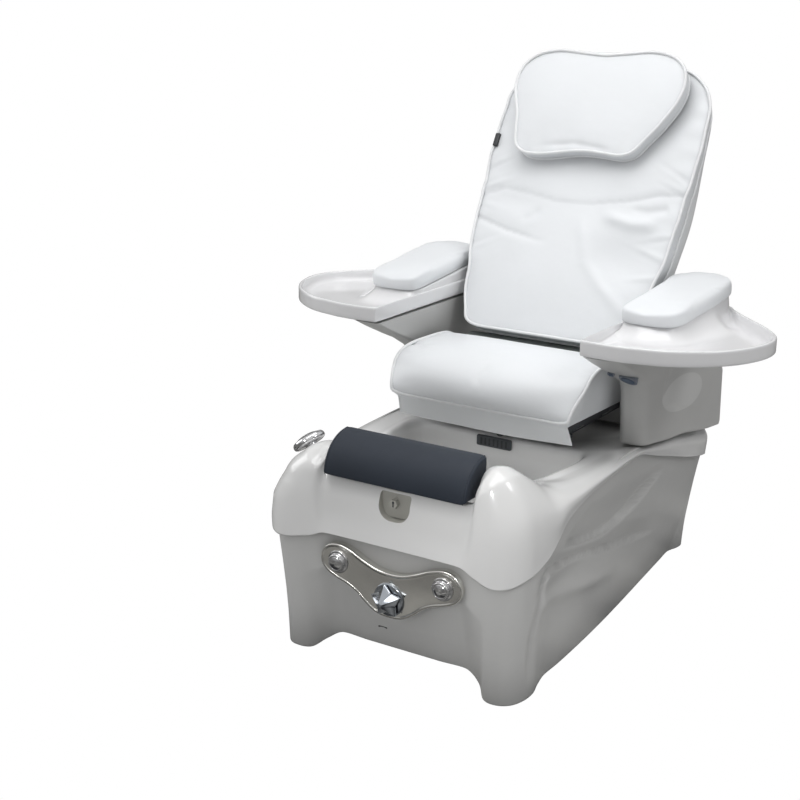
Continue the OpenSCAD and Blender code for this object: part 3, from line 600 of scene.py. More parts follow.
BEZEL = material("switch_bezel_grey", (0.20, 0.22, 0.26), rough=0.3, coat=0.3, var=0.05,
                 bump=[("noise", 400, 0.00004)])
BRASS = material("cast_brass", (0.62, 0.45, 0.20), rough=0.35, metal=1.0, var=0.08,
                 bump=[("noise", 300, 0.0001)])
WHITE_PLASTIC = material("white_plastic", (0.75, 0.75, 0.74), bump=[("noise", 700, 0.00005)])
RUBBER = material("rubber", (0.022, 0.022, 0.022), rough=0.8, var=0.1,
                  bump=[("noise", 500, 0.0002)])
HOSE = material("braided_hose", (0.45, 0.45, 0.46), rough=0.35, metal=0.9, var=0.06,
                bump=[("wave", 260, 0.0006)])

SLOT_MATERIAL = {
    "upper_shell": WHITE, "lower_shell": GREY, "arm_pillar": PILLAR, "tray": TRAY,
    "upholstery": VINYL, "footrest_pad": NAVY, "back_shell": BACK, "chrome": CHROME,
    "steel_frame": STEEL, "bright_steel": BRIGHT, "dark_plastic": DARK, "switch_blue": BLUE,
    "brass": BRASS, "white_plastic": WHITE_PLASTIC, "rubber": RUBBER, "hose": HOSE}
SLOT_OF = {mat.name: slot for slot, mat in SLOT_MATERIAL.items()}
for mat, slot in ((NICHE, "upper_shell"), (GAP_SHADE, "rubber"), (JET, "dark_plastic"),
                  (VINYL_THIN, "upholstery"), (PIPE, "upholstery"), (STAR, "chrome"),
                  (PLATE, "chrome"), (BEZEL, "switch_blue")):
    SLOT_OF[mat.name] = slot


def dress_cad_pieces():
    """Material and softened edges for every piece of the frame."""
    for part in frame["record"]["subparts"]:
        name = part["node"]
        ob = frame["nodes"].get(name)
        if ob is None:
            continue
        # the footrest parts in the niche take its painted shade
        if "footrest" in name:
            mat = NICHE
        # the recline motor takes the painted shade of the deck
        elif name == "recline_motor":
            mat = SHADE
        else:
            mat = SLOT_MATERIAL[part["material_slot"]]
        ob.data.materials.clear()
        ob.data.materials.append(mat)
        for p in ob.data.polygons:
            p.material_index = 0
        bevel = ob.modifiers.new("edge_round", "BEVEL")
        bevel.width = 0.0008
        bevel.segments = 2
        bevel.limit_method = "ANGLE"
        bevel.angle_limit = math.radians(40)


dress_cad_pieces()

# ------------------------------------------------------------ base: station curves
# Right half of each level line, front centre to rear centre: x, y, z at 26 stations.
HEM = np.array([
    [0, -600, 331], [100, -600, 331], [190, -601, 329], [225, -603, 312], [262, -602, 297],
    [298, -586, 299], [323, -554, 312], [332, -508, 323], [337, -462, 342], [340, -424, 367],
    [342, -378, 402], [344, -305, 427], [345, -235, 441], [346, -140, 452], [346, -38, 460],
    [345, 25, 456], [342, 150, 418], [337, 270, 383], [331, 380, 350], [325, 485, 323],
    [315, 560, 308], [297, 594, 302], [262, 606, 300], [200, 608, 300], [100, 608, 300],
    [0, 608, 300]], float)
RIDGE = np.array([
    [0, -566, 470], [100, -566, 470], [197, -567, 472], [208, -569, 505], [222, -562, 532],
    [234, -540, 549], [240, -512, 553], [244, -484, 546], [250, -452, 526], [260, -415, 500],
    [276, -370, 480], [296, -305, 471], [310, -235, 470], [319, -140, 471], [324, -38, 472],
    [325, 25, 470], [321, 150, 455], [315, 270, 439], [309, 380, 421], [303, 485, 402],
    [294, 556, 392], [280, 580, 389], [250, 590, 388], [195, 592, 388], [100, 592, 388],
    [0, 592, 388]], float)
RIM = np.array([
    [0, -545, 467], [100, -545, 467], [196.5, -545, 469], [200, -548, 496], [203, -542, 522],
    [205, -528, 538], [206, -508, 543], [207, -486, 537], [208, -456, 519], [214, -420, 494],
    [225, -368, 473], [236, -305, 467], [245, -235, 467], [252, -165, 467], [250, -115, 467],
    [234, -90, 467], [208, -82, 467], [182, -80, 467], [156, -80, 467], [130, -80, 467],
    [106, -80, 467], [84, -80, 467], [63, -80, 467], [42, -80, 467], [21, -80, 467],
    [0, -80, 467]], float)
PLINTH = np.array([
    [0, -531, 48], [100, -531, 48], [178, -531, 48], [214, -540, 26], [240, -566, 4],
    [276, -574, 4], [304, -556, 4], [318, -520, 4], [319, -474, 4], [308, -430, 4],
    [299, -380, 4], [299, -310, 4], [297, -240, 4], [293, -150, 4], [287, -50, 4],
    [282, 20, 4], [272, 140, 4], [262, 250, 4], [253, 350, 4], [244, 450, 4], [238, 525, 4],
    [250, 570, 4], [246, 604, 4], [205, 616, 4], [120, 612, 130], [0, 612, 130]], float)
STATION_COUNT = len(HEM)
LAST = STATION_COUNT - 1
STATION = np.arange(STATION_COUNT)
SPAN_STEPS = [26, 14] + [6] * 4 + [5] * 19  # columns between neighbouring stations
HALF_T = np.concatenate([i + np.arange(c) / c for i, c in enumerate(SPAN_STEPS)] + [[LAST]])
FULL_T = np.concatenate([HALF_T, 2 * LAST - HALF_T[::-1][1:-1]])


def around(half):
    return hermite(mirrored(half), FULL_T, closed=True)


# two lines bulging between hem and ridge, and one halfway over the deck
side = np.clip((STATION - 2) / 3, 0, 1)
front = STATION < 3
rise = RIDGE[:, 2] - HEM[:, 2]
BELLY = np.stack([
    np.maximum(HEM[:, 0], HEM[:, 0] * 0.75 + RIDGE[:, 0] * 0.25) + 3 * side,
    np.where(front, HEM[:, 1] * 0.65 + RIDGE[:, 1] * 0.35, HEM[:, 1] * 0.88 + RIDGE[:, 1] * 0.12),
    HEM[:, 2] + rise * np.where(front, 0.35, np.where(STATION < 10, 0.55, 0.62))], 1)
UPPER_BELLY = np.stack([
    np.where(front, RIDGE[:, 0], HEM[:, 0] * 0.45 + RIDGE[:, 0] * 0.55),
    HEM[:, 1] * 0.45 + RIDGE[:, 1] * 0.55,
    HEM[:, 2] + rise * np.where(front, 0.75, 0.93)], 1)
DECK = (RIDGE + RIM) / 2
DECK[:, 2] += np.where((STATION > 2) & (STATION < 11), 3, 0)
TUB_Y, TUB_FLOOR_Z = -318, 205


def tub_wall(t):
    """Level line at share t of the way down the tub."""
    s = ease(t) * 0.5 + t * 0.5
    top = RIM[:, 2] - 10 * ease(t * 6)
    y = RIM[:, 1]
    return np.stack([RIM[:, 0] * (1 - 0.26 * s), y + (TUB_Y + (y - TUB_Y) * 0.78 - y) * s,
                     top + (TUB_FLOOR_Z - top) * t**0.85], 1)


def tub_floor(t):
    """Line on the tub floor, closing on a small circle round the drain."""
    wall, angle = tub_wall(1.0), math.pi * STATION / LAST
    drain = np.stack([33 * np.sin(angle), -360 - 33 * np.cos(angle)], 1)
    return at_depth(wall[:, :2] + (drain - wall[:, :2]) * t, TUB_FLOOR_Z)


LEVELS = [HEM, BELLY, UPPER_BELLY, RIDGE, DECK, RIM, tub_wall(0.12), tub_wall(0.45),
          tub_wall(0.8), tub_wall(1.0), tub_floor(0.12), tub_floor(1.0)]
# rows between levels: from level, to level, count with both ends
LEVEL_ROWS = ((1, 2, 13), (2, 3, 13), (3, 5, 17), (5, 6, 6), (6, 9, 19), (9, 11, 9))
LEVEL_T = np.concatenate([[0, 0.03, 0.08], np.linspace(0.14, 1, 12)]
                         + [np.linspace(a, b, n)[1:] for a, b, n in LEVEL_ROWS])
upper = hermite(np.stack([around(level) for level in LEVELS]), LEVEL_T, pull=0.95)
hem_line = upper[0]
hem_run = np.roll(hem_line, -1, 0) - np.roll(hem_line, 1, 0)
HEM_INWARD = np.stack([-hem_run[:, 1], hem_run[:, 0], np.zeros(len(hem_run))], 1)
HEM_INWARD /= norm(HEM_INWARD)


def turned_in(line, steps):
    """Rings beside a line, each (inward, upward) from it."""
    return np.stack([line + HEM_INWARD * inset + [0, 0, up] for inset, up in steps])


HEM_LIP = [(11, 16), (10.4, 3), (9, 0.4), (2.2, -0.2), (0.5, 0.4)]
upper = np.concatenate([turned_in(hem_line, HEM_LIP), upper], 0)

# opening in the front panel, round below and nearly square above
NICHE_X, NICHE_Z = 1.0, 426.0
NICHE_HALF_X, NICHE_HALF_Z = 42.0, 33.0
SNAP = 2.1  # vertices this near the outline move onto it


def niche_distance(x, z):
    radius = np.where(z < NICHE_Z, 34.0, 7.0)
    qx = np.abs(x - NICHE_X) - NICHE_HALF_X + radius
    qz = np.abs(z - NICHE_Z) - NICHE_HALF_Z + radius
    inside = np.minimum(np.maximum(qx, qz), 0)
    return np.hypot(np.maximum(qx, 0), np.maximum(qz, 0)) + inside - radius


def cut_niche(grid):
    """Cut the opening in the front; returns vertices, faces and the opening's loop."""
    verts = grid.reshape(-1, 3).copy()
    x, z = verts[:, 0], verts[:, 2]
    panel = (verts[:, 1] < -540) & (np.abs(x) < 90) & (z > 372) & (z < 469)
    d = np.where(panel, niche_distance(x, z), 99.0)
    e = 0.05
    dx = d * (niche_distance(x + e, z) - niche_distance(x - e, z)) / (2 * e)
    dz = d * (niche_distance(x, z + e) - niche_distance(x, z - e)) / (2 * e)
    near = panel & (np.abs(d) < SNAP)
    verts[near, 0] -= dx[near]
    verts[near, 2] -= dz[near]
    verts[near, 1] -= dz[near] * 0.245  # follow the slope of the panel
    d = np.where(near, 0.0, d)
    faces = []
    for f in grid_faces(*grid.shape[:2], wrap=True):
        s = [d[i] for i in f]
        if max(s) <= 0:
            continue
        if min(s) < 0:
            faces += [(f[i - 1], f[i], f[(i + 1) % 4]) for i in range(4) if s[i] > 0]
        else:
            faces.append(f)
    uses = {}
    for f in faces:
        for a, b in zip(f, f[1:] + f[:1]):
            if d[a] == 0 and d[b] == 0:
                key = (min(a, b), max(a, b))
                uses[key] = uses.get(key, 0) + 1
    joined = {}
    for (a, b), count in uses.items():
        if count == 1:
            joined.setdefault(a, []).append(b)
            joined.setdefault(b, []).append(a)
    start = next(iter(joined))
    loop, before, current = [start], None, start
    while len(loop) <= 2000:  # guards a walk that never comes home
        onward = [q for q in joined[current] if q != before]
        if not onward or onward[0] == start:
            break
        before, current = current, onward[0]
        loop.append(current)
    return verts, faces, loop


def niche_lining(rim):
    """Moulding that lines the opening: inset, share of the rim's y kept, y added."""
    steps = ((0, 1, 0), (0.5, 1, 1.0), (1.2, 1, 2.4), (2.0, 1, 6), (3.5, 0.4, -320.86),
             (6, 0, -546), (9, 0, -545.1))
    outward = rim - [NICHE_X, 0, NICHE_Z]
    outward[:, 1] = 0
    outward /= norm(outward)
    rings = []
    for inset, share, y in steps:
        ring = rim - outward * inset
        ring[:, 1] = ring[:, 1] * share + y
        rings.append(ring)
    count, total = len(rim), len(rings) * len(rim)
    faces = grid_faces(len(rings), count, wrap=True) + fan(total - count, count, total)
    add("footrest_niche", np.vstack(rings + [[[NICHE_X, -544.8, NICHE_Z]]]), faces, NICHE, "base")


verts, faces, loop = cut_niche(upper)
upper_ob = add("upper_moulding", verts, faces, WHITE, "base", "upper_shell")
if len(loop) > 10:  # guards a broken outline
    niche_lining(verts[loop])

# ------------------------------------------------------------ lower moulding
# plan direction inward, shared by runs of 4, 3, 13, 3 and 3 stations
inward = np.repeat([[0, 1], [-1, 1.1], [-1, 0], [-1, -1], [0, -1]], [4, 3, 13, 3, 3], axis=0)
TUCK = HEM + at_depth(inward / norm(inward), 0.0) * 10
TUCK[:, 0] = np.maximum(TUCK[:, 0], 0)
TUCK[:, 2] += np.minimum(14, 0.6 * rise - 4.5)
# front bay: z, share of the way from plinth to hem; it folds back below z 242
BAY = [(48, 0), (110, 0.33), (170, 0.60), (205, 0.76), (216, 0.82), (226, 0.90), (234, 0.97),
       (242, 1), (400, 1)]


def lower_line(t):
    share = np.zeros(STATION_COUNT)
    bay = lookup(PLINTH[0, 2] + t * (TUCK[0, 2] - PLINTH[0, 2]), BAY)
    share[:3] = bay
    share[3:9] = t**0.75
    share[9:] = t**0.9
    share[3] = 0.5 * bay + 0.5 * t**0.75
    shares = np.column_stack([share, share, np.full(STATION_COUNT, t)])
    return PLINTH + (TUCK - PLINTH) * shares


# wave lines along the sides: y, z
WAVE1_LOW = [(-420, 352), (-371, 338), (-270, 312), (-167, 296), (-105, 289), (-43, 288),
             (47, 297), (120, 316), (200, 345), (257, 371), (330, 392)]
WAVE1_TOP = [(-420, 360), (-371, 342), (-300, 378), (-225, 406), (-89, 410), (30, 398),
             (110, 387), (257, 371), (330, 392)]
WAVE2_LOW = [(-500, 225), (-474, 255), (-427, 285), (-380, 283), (-300, 276), (-236, 267),
             (-120, 240), (0, 213), (127, 186), (240, 160)]
SWELL = [(-480, 226), (-420, 215), (-277, 193), (-100, 165), (60, 130)]
GROOVE = [(0, -520), (154, -509), (255, -474), (300, -450), (420, -440)]  # z, y


def hollow(z, low, top, gap, strength):
    """Recess from 0 at the top line to full depth just above the low line."""
    return ease(np.clip((top - z) / gap, 0, 1)) * 1.0, ease((z - low + 1) / 9.0) * strength


def relief(y, z):
    """Outward shift in mm of the side of the lower moulding."""
    low, top = lookup(y, WAVE1_LOW), lookup(y, WAVE1_TOP)
    gap = np.maximum(top - low, 1.0)
    depth, edge = hollow(z, low, top, gap, np.clip(gap / 70, 0, 1))
    wave1 = np.where(z > top + 1, 0, depth**0.8 * edge)
    low2 = lookup(y, WAVE2_LOW)
    top2 = np.minimum(low - 4, low2 + 70)
    gap = np.maximum(top2 - low2, 1)
    strength = np.clip((gap - 4) / 50, 0, 1) * ease((y + 500) / 60) * (1 - ease((y - 60) / 240))
    depth, edge = hollow(z, low2, top2, gap, strength)
    wave2 = np.where(z > top2, 0, depth * edge)
    # soft swell under the second wave, and the groove behind the front column
    swell = bell(z, lookup(y, SWELL), 22.0) * ease((y + 500) / 70) * (1 - ease((y + 150) / 200))
    groove_y = lookup(z, GROOVE)
    groove = bell(y, groove_y + 12, 13.0) * ease((z - 20) / 90) * (1 - ease((z - 262) / 34))
    dip = (ease((y - groove_y - 4) / 26) * (1 - ease((y + 330) / 150)) * ease(z / 120)
           * (1 - ease((z - 240) / 50)))
    return -17.0 * wave1 - 15.0 * wave2 + 9.0 * swell - 9.0 * groove - 6.0 * dip


def lower_moulding():
    shares = np.concatenate([[0, 0.008, 0.02], np.linspace(0.04, 1, 64)])
    grid = np.stack([around(lower_line(t)) for t in shares])
    x, y, z = grid[..., 0], grid[..., 1], grid[..., 2]
    y += 13 * (1 - ease((np.abs(x) - 165) / 62)) * (y < -400) * ease((z - 45) / 80)
    on_side = np.clip((np.abs(x) - 240) / 40, 0, 1)
    x += np.sign(x) * relief(y, z) * on_side * (1 - ease((y - 330) / 120))
    foot = turned_in(grid[0], [(7, 9), (5, 0.6), (1.2, -0.2)])  # floor edge
    grid = np.concatenate([foot, grid], 0)
    return add("lower_moulding", grid, grid_faces(*grid.shape[:2], wrap=True), GREY, "base",
               "lower_shell")


lower_ob = lower_moulding()
# painted shade: a small dark tube stands in for the shaded slit low in the bay
SLIT = [[-67, -536.2, 96], [-61, -535.2, 97.5], [-49, -535.2, 97.5], [-43, -536.2, 96]]
tube("bay_slit_painted_shade", smooth_curve(SLIT, 14), 2.4, DARK, "base")

# ------------------------------------------------------------ arm pillars
PILLAR_FOOT, PILLAR_TOP = 470, 751


def pillar_ring(z):
    """Plan of the right pillar at height z, anticlockwise from its inner side."""
    inner = np.interp(z, [380, 640, 751], [268, 284, 284])
    outer = np.interp(z, [380, 470, 638, 700, 751], [350, 350, 352.5, 362, 374])
    front = lookup(z, [(380, 28), (470, 28), (560, 10), (610, -1), (630, -7), (645, -18),
                       (676, -70), (697, -118), (727, -180), (751, -225)])
    rear = lookup(z, [(380, 548), (420, 548), (480, 570), (600, 557), (640, 503), (680, 449),
                      (720, 395), (751, 352)])
    r_in = np.interp(z, [380, 640, 751], [26, 22, 9])
    r_out = np.interp(z, [380, 640, 751], [36, 34, 30])
    # corners: centre x, centre y, radius, first angle, points
    corners = ((inner + r_in, front + r_in, r_in, 180, 15),
               (outer - r_out, front + r_out, r_out, 270, 15),
               (outer - 12, rear - 12, 12.0, 0, 9), (inner + 6, rear - 6, 6.0, 90, 9))
    points = [(x + r * math.cos(a), y + r * math.sin(a)) for x, y, r, start, count in corners
              for a in np.radians(np.linspace(start, start + 90, count))]
    points = np.array(points + points[:1])
    # stretches of the outline: first point, last point, steps, so that rings match
    stretches = ((0, 14, 14), (14, 15, 6), (15, 29, 18), (29, 30, 60), (30, 38, 8),
                 (38, 39, 6), (39, 47, 6), (47, 48, 60))
    return np.vstack([resample(points[a:b + 1], k + 1)[:-1] for a, b, k in stretches])


def pillar(sign, name, replaced):
    levels = np.concatenate([[470, 471.5, 474], np.linspace(480, PILLAR_TOP, 56)])
    foot_insets = {0: 3.0, 1: 0.9}
    rings = []
    for k, level in enumerate(levels):
        plan = pillar_ring(level)
        share = (level - PILLAR_FOOT) / (PILLAR_TOP - PILLAR_FOOT)
        foot = lookup(plan[:, 1], [(-60, 474), (60, 474), (170, 457), (310, 441), (470, 413),
                                   (620, 396)])
        outward = plan - plan.mean(0)
        inset = foot_insets.get(k, 0.0)
        rings.append(np.column_stack([plan - outward / norm(outward) * inset,
                                      foot + share * (PILLAR_TOP - foot)]))
    grid = np.stack(rings)
    # leaf-shaped facet on the outer face, with one crisp edge
    x, y, z = grid[..., 0], grid[..., 1], grid[..., 2]
    edge_y = np.interp(z, [520, 545, 580, 623, 670, 720], [250, 160, 123, 128, 170, 240])
    low_z = np.interp(y, [100, 136, 200, 300, 449], [548, 544, 536, 505, 466])
    facet = (ease((y - edge_y) / 7) * ease((z - low_z) / 16) * (1 - ease((y - 330) / 140))
             * (1 - ease((z - 690) / 40)))
    x += 3.2 * facet * np.clip((x - 330) / 12, 0, 1)
    x *= sign
    rows, cols = grid.shape[:2]
    total = rows * cols
    verts = np.vstack([grid.reshape(-1, 3), [[sign * 320, 120, PILLAR_TOP]]])
    faces = grid_faces(rows, cols, wrap=True, flip=sign < 0)
    faces += fan(total - cols, cols, total, back=sign < 0)
    add(name, verts, faces, PILLAR, "base", replaced, sharp=60)


pillar(1, "right_pillar", "right_arm_pillar")
pillar(-1, "left_pillar", "left_arm_pillar")


def flare(ob, heights, amounts):
    """Spread the front columns toward the hem, the left one more than the right."""
    coords = co_of(ob.data) * 1000
    x, y, z = coords.T
    reach = ease((np.abs(x) - 205) / 70) * (1 - ease((y + 480) / 150))
    # lower the top of the left column; the spread below reads the lowered z
    z -= (28 * ease((z - 462) / 80) * ease((-x - 196) / 22) * (1 - ease((y + 465) / 110))
          * (z > 440))
    x += np.where(x < 0, -1.0, 0.14) * np.interp(z, heights, amounts) * reach
    set_co(ob.data, coords / 1000)


flare(upper_ob, heights=[290, 330, 387, 440, 480], amounts=[46, 48, 38, 9, 0])
flare(lower_ob, heights=[0, 85, 146, 206, 266, 330], amounts=[14, 17, 22, 29, 37, 46])


# ------------------------------------------------------------ cushions
# Backrest frame: x across, s up the leaning back, depth away from the sitter.
BACK_ORIGIN = (0, 110, 700)
BACK_AXIS = np.array([0, COS30, -SIN30])


def back_world(points):
    points = np.asarray(points, float)
    x, s, depth = points[..., 0], points[..., 1], points[..., 2]
    taper = np.clip((depth - 14) / 116, 0, 1.05) * 26 * ease((s - 330) / 330)
    x = x - np.sign(x) * taper * np.clip(np.abs(x) / 240, 0, 1)
    return np.stack([x, BACK_ORIGIN[1] + s * SIN30 + depth * COS30,
                     BACK_ORIGIN[2] + s * COS30 - depth * SIN30], -1)


def back_local(coords):
    x, y, z = (coords - np.array(BACK_ORIGIN, float)).T
    return x, y * SIN30 + z * COS30, y * COS30 - z * SIN30


def coons(bottom, right, top, left, cols, rows):
    """Grid (rows, cols, 2) between four edges, running left to right and upward."""
    low, high = resample(bottom, cols), resample(top, cols)
    left, right = resample(left, rows), resample(right, rows)
    u, v = np.linspace(0, 1, cols)[None, :, None], np.linspace(0, 1, rows)[:, None, None]
    return ((1 - v) * low[None] + v * high[None] + (1 - u) * left[:, None] + u * right[:, None]
            - ((1 - u) * (1 - v) * low[0] + u * (1 - v) * low[-1]
               + (1 - u) * v * high[0] + u * v * high[-1]))


def split_outline(half, low, high):
    """Bottom, right, top and left edges cut at heights low and high, then the whole."""
    right = smooth_curve(half, 160)
    last = len(right) - 1
    shares = [np.argmax(right[:, 1] > level) / last for level in (low, high)]
    i, j = (int(share * last) for share in shares)
    left = right * [-1, 1]
    bottom = np.vstack([left[:i + 1][::-1], right[1:i + 1]])
    top = np.vstack([left[j:], right[j:-1][::-1]])
    return bottom, right[i:j + 1], top, left[i:j + 1], mirrored(right)


def shrink(points, inset, spread):
    """Scale about a centre so that both half sizes lose inset; spread = centre, halves."""
    centre, half = np.array(spread, float)
    return centre + (np.asarray(points, float) - centre) * ((half - inset) / half)


def cushion(name, edges, cols, rows, front, rings, back, world, spread, body, replaced,
            cap, crown, folds, fold_edge, fold_span):
    """Padded slab: crowned face, seam, gusset rings (inset, depth), flat back.
    folds(x, s) raises the face, fading out over fold_span in front of fold_edge."""
    plan = coons(*edges[:4], cols, rows)
    flat = plan.reshape(-1, 2)
    edge = border(rows, cols)
    u, v = np.linspace(-1, 1, cols)[None, :], np.linspace(-1, 1, rows)[:, None]
    dome = (1 - np.abs(u) ** 3.2) * (1 - np.abs(v) ** 3.6)
    count, edge_count = rows * cols, len(edge)
    back_start = count + len(rings) * edge_count
    verts = np.vstack([np.column_stack([flat, (front - crown * dome).ravel()])]
                      + [at_depth(shrink(flat[edge], inset, spread), depth)
                         for inset, depth in rings]
                      + [at_depth(shrink(flat, rings[-1][0], spread), back)])
    loops = [edge]
    for k in range(len(rings)):
        loops.append([count + k * edge_count + i for i in range(edge_count)])
    loops.append([back_start + i for i in edge])
    faces = grid_faces(rows, cols)
    for a, b in zip(loops, loops[1:]):
        faces += band(a, b)
    faces += [tuple(q + back_start for q in f[::-1]) for f in grid_faces(rows, cols)]
    ob = add(name, world(verts), faces, VINYL, body, replaced)
    recalc(ob)
    inflate(ob, edge + loops[-2] + list(range(back_start, len(verts))), 5.0, cap)
    subdivide(ob)
    coords = co_of(ob.data) * 1000
    x, s, depth = back_local(coords)
    height = folds(x, s) * ease((fold_edge - depth) / fold_span)
    coords += -BACK_AXIS[None] * height[:, None]
    set_co(ob.data, coords / 1000)


# ------------------------------------------------------------ backrest
# right half, bottom to top: x, s
BACK_HALF = [[0, 0], [120, 0], [200, 2], [230, 16], [241, 45], [256, 90], [270, 170],
             [281, 233], [289, 321], [295, 400], [298, 480], [299, 560], [299, 630],
             [295, 675], [280, 712], [254, 745], [218, 770], [160, 788], [80, 796], [0, 796]]
BACK_SPREAD = ((0, 398), (299, 398))


def wavy(points):
    """Uneven sides, nipped in at two heights on each side."""
    points = np.array(points, float)
    x, s = points.T
    left = (3.2 * np.sin(s / 38.0 + 0.6) + 1.6 * np.sin(s / 15.0)
            - 4.5 * bell(s, 418, 16) - 3.5 * bell(s, 300, 14))
    right = (2.4 * np.sin(s / 44.0 + 2.0) + 1.4 * np.sin(s / 17.0)
             - 3.5 * bell(s, 424, 15) - 3.0 * bell(s, 330, 13))
    reach = ease((np.abs(x) - 200) / 60) * ease((s - 40) / 60) * ease((720 - s) / 80)
    x += 0.55 * np.sign(x) * np.where(x < 0, left, right) * reach
    return points


CROSS_FOLD = [(-300, 372), (-223, 400), (-137, 388), (-51, 373), (53, 375), (151, 393),
              (227, 420), (300, 428)]
LEFT_FOLD = [(-300, 312), (-262, 298), (-185, 275), (-91, 254), (-30, 250)]
# rise, width, fade in, fade out, points (x, s)
BACK_CREASES = [
    (-3.0, 13, 0.3, 0.3, [(-150, 306), (-118, 322), (-88, 346)]),
    (2.8, 15, 0.2, 0.1, [(24, 349), (48, 285), (74, 213), (133, 150), (204, 96), (246, 66)]),
    (7.0, 17, 0.3, 0.25, [(76, 350), (168, 329), (251, 333)]),
    (-4.0, 12, 0.3, 0.1, [(150, 372), (205, 366), (262, 384)])]
# side wrinkles: x, s, tilt
WRINKLES = [(-262, 470, 0.5), (-268, 402, 0.35), (-262, 348, -0.2), (-255, 232, 0.4),
            (272, 470, -0.5), (270, 430, -0.35), (262, 300, 0.3), (252, 250, -0.3),
            (240, 190, 0.2)]


def back_folds(x, s):
    gap, share, side = line_distance(x, s, CROSS_FOLD)
    h = -2.6 * bell(gap, 0, 10) * (0.35 + 0.65 * np.abs(share - 0.5) * 2)
    h -= 2.0 * bell(gap, 0, 34) * (side < 0)
    gap, share, side = line_distance(x, s, LEFT_FOLD)
    h -= (3.8 * bell(gap, 0, 8) + 2.6 * bell(gap, 0, 30) * (side > 0)) * ends(share, 0, 0.5)
    for height, width, start, stop, points in BACK_CREASES:
        h += height * crease(x, s, points, width, start, stop)
    h -= 5.0 * dimple(x + 185, s - 338 + 0.12 * x, 95, 30, power=1)
    h -= 8.0 * dimple(x - 168, s - 228, 84, 62)
    h -= 3.5 * dimple(x + 150, s - 150, 60, 70)
    for k, (cx, cs, tilt) in enumerate(WRINKLES):
        q = (s - cs) - tilt * (np.abs(x) - abs(cx)) * np.sign(cx)
        length = 46 + 9 * math.sin(k * 2.1)
        h += 1.7 * np.sin(q / 6.4 + k) * bell(q, 0, 12) * bell(x, cx, length)
    h += 1.4 * noise2(x / 80, s / 60, 3) + 0.7 * noise2(x / 30, s / 34, 4)
    # puckers at the seam
    near_seam = np.clip((np.abs(x) - 225) / 60, 0, 1)
    return h + 0.9 * near_seam * np.sin(s / 9.5 + 2 * noise2(x / 60, s / 60, 5))


even_edges = split_outline(BACK_HALF, low=14, high=738)
back_edges = tuple(wavy(edge) for edge in even_edges)
cushion("back_upholstery", back_edges, cols=53, rows=71, front=12,
        rings=[(0.4, 16), (-1.5, 30), (-1.0, 46), (2.0, 59)], back=60, world=back_world,
        spread=BACK_SPREAD, body="backrest", replaced="back_cushion", cap=16, crown=9,
        folds=back_folds, fold_edge=30, fold_span=26)
back_outline = back_edges[4]
loop = smooth_curve(at_depth(back_outline, 11.0)[::2], 260, True)
tube("back_piping_front", back_world(loop), 4.2, PIPE, "backrest", closed=True)
loop = at_depth(shrink(back_outline, 1.0, BACK_SPREAD), 60.5)[::2]
tube("back_piping_rear", back_world(loop), 3.2, PIPE, "backrest", closed=True)


def back_moulding():
    """Moulded cover behind the cushion, with a groove round its flat."""
    steps = [(9, 62), (5, 62), (3.4, 62.8), (3, 65), (2.6, 80), (2.8, 96), (4, 108),
             (7, 117), (12, 123.5), (19, 127.6), (28, 129.2), (45, 129.8), (47.5, 129.2),
             (49, 126.4), (51, 126.0), (53, 126.4), (54.5, 128.8), (60, 129.6), (110, 130),
             (200, 130), (270, 130)]  # inset, depth
    outline = resample(even_edges[4], 240, True)
    rings = [at_depth(shrink(outline, inset, BACK_SPREAD), depth) for inset, depth in steps]
    verts = np.vstack(rings + [[[*BACK_SPREAD[0], 130]]])
    count, total = len(outline), len(verts) - 1
    faces = grid_faces(len(steps), count, wrap=True) + fan(total - count, count, total)
    recalc(add("back_moulding", back_world(verts), faces, BACK, "backrest", "back_shell"))


back_moulding()

# ------------------------------------------------------------ pillow
# right half, bottom to top: x, s
PILLOW_HALF = [[0, 494], [90, 494], [146, 498], [176, 514], [196, 556], [217, 610],
               [236, 655], [244, 700], [232, 748], [196, 780], [138, 793], [60, 786], [0, 780]]
PILLOW_SPREAD = ((0, 632), (244, 140))
PILLOW_TURN = 0.022


def pillow_world(points):
    """The soft lower edge hangs in a wave; the whole pillow sits turned and off centre."""
    points = np.array(points, float)
    x, s, depth = points[..., 0], points[..., 1], points[..., 2]
    low = ease((620 - s) / 130)
    s += low * (9 * np.sin((x + 60) / 62) * bell(x, 20, 230) - 2)
    depth -= low * 4 * np.cos((x - 60) / 70)
    x -= 19 * ease((640 - s) / 150) + 10 * ease((610 - s) / 110) * ease(x / 150)
    c, t = math.cos(PILLOW_TURN), math.sin(PILLOW_TURN)
    up = s - 640
    return back_world(np.stack([x * c - up * t - 9, 640 + x * t + up * c, depth], -1))


def pillow_folds(x, s):
    h = 1.3 * noise2(x / 60, s / 50, 11) + 0.5 * noise2(x / 24, s / 22, 12)
    line = [(-150, 506), (-90, 512), (-30, 520), (40, 512), (110, 500)]
    h -= 2.6 * crease(x, s, line, 8, 0.3, 0.3)
    near_seam = np.clip((540 - s) / 40, 0, 1)
    return h + 0.8 * near_seam * np.sin(x / 8 + 2 * noise2(x / 50, s / 50, 13))


pillow_edges = split_outline(PILLOW_HALF, low=512, high=738)
cushion("pillow_upholstery", pillow_edges, cols=49, rows=35, front=-46,
        rings=[(0.2, -42), (-1.5, -32), (-1.5, -20), (2.0, -8)], back=-4.2,
        world=pillow_world, spread=PILLOW_SPREAD, body="pillow", replaced="head_pillow",
        cap=13, crown=6, folds=pillow_folds, fold_edge=-24, fold_span=22)
for name, inset, depth, radius in (("pillow_piping", 0.0, -46.5, 4.4),
                                   ("pillow_piping_rear", 1.4, -8.5, 2.8)):
    loop = at_depth(shrink(pillow_edges[4], inset, PILLOW_SPREAD), depth)[::2]
    tube(name, pillow_world(loop), radius, PIPE, "pillow", closed=True)

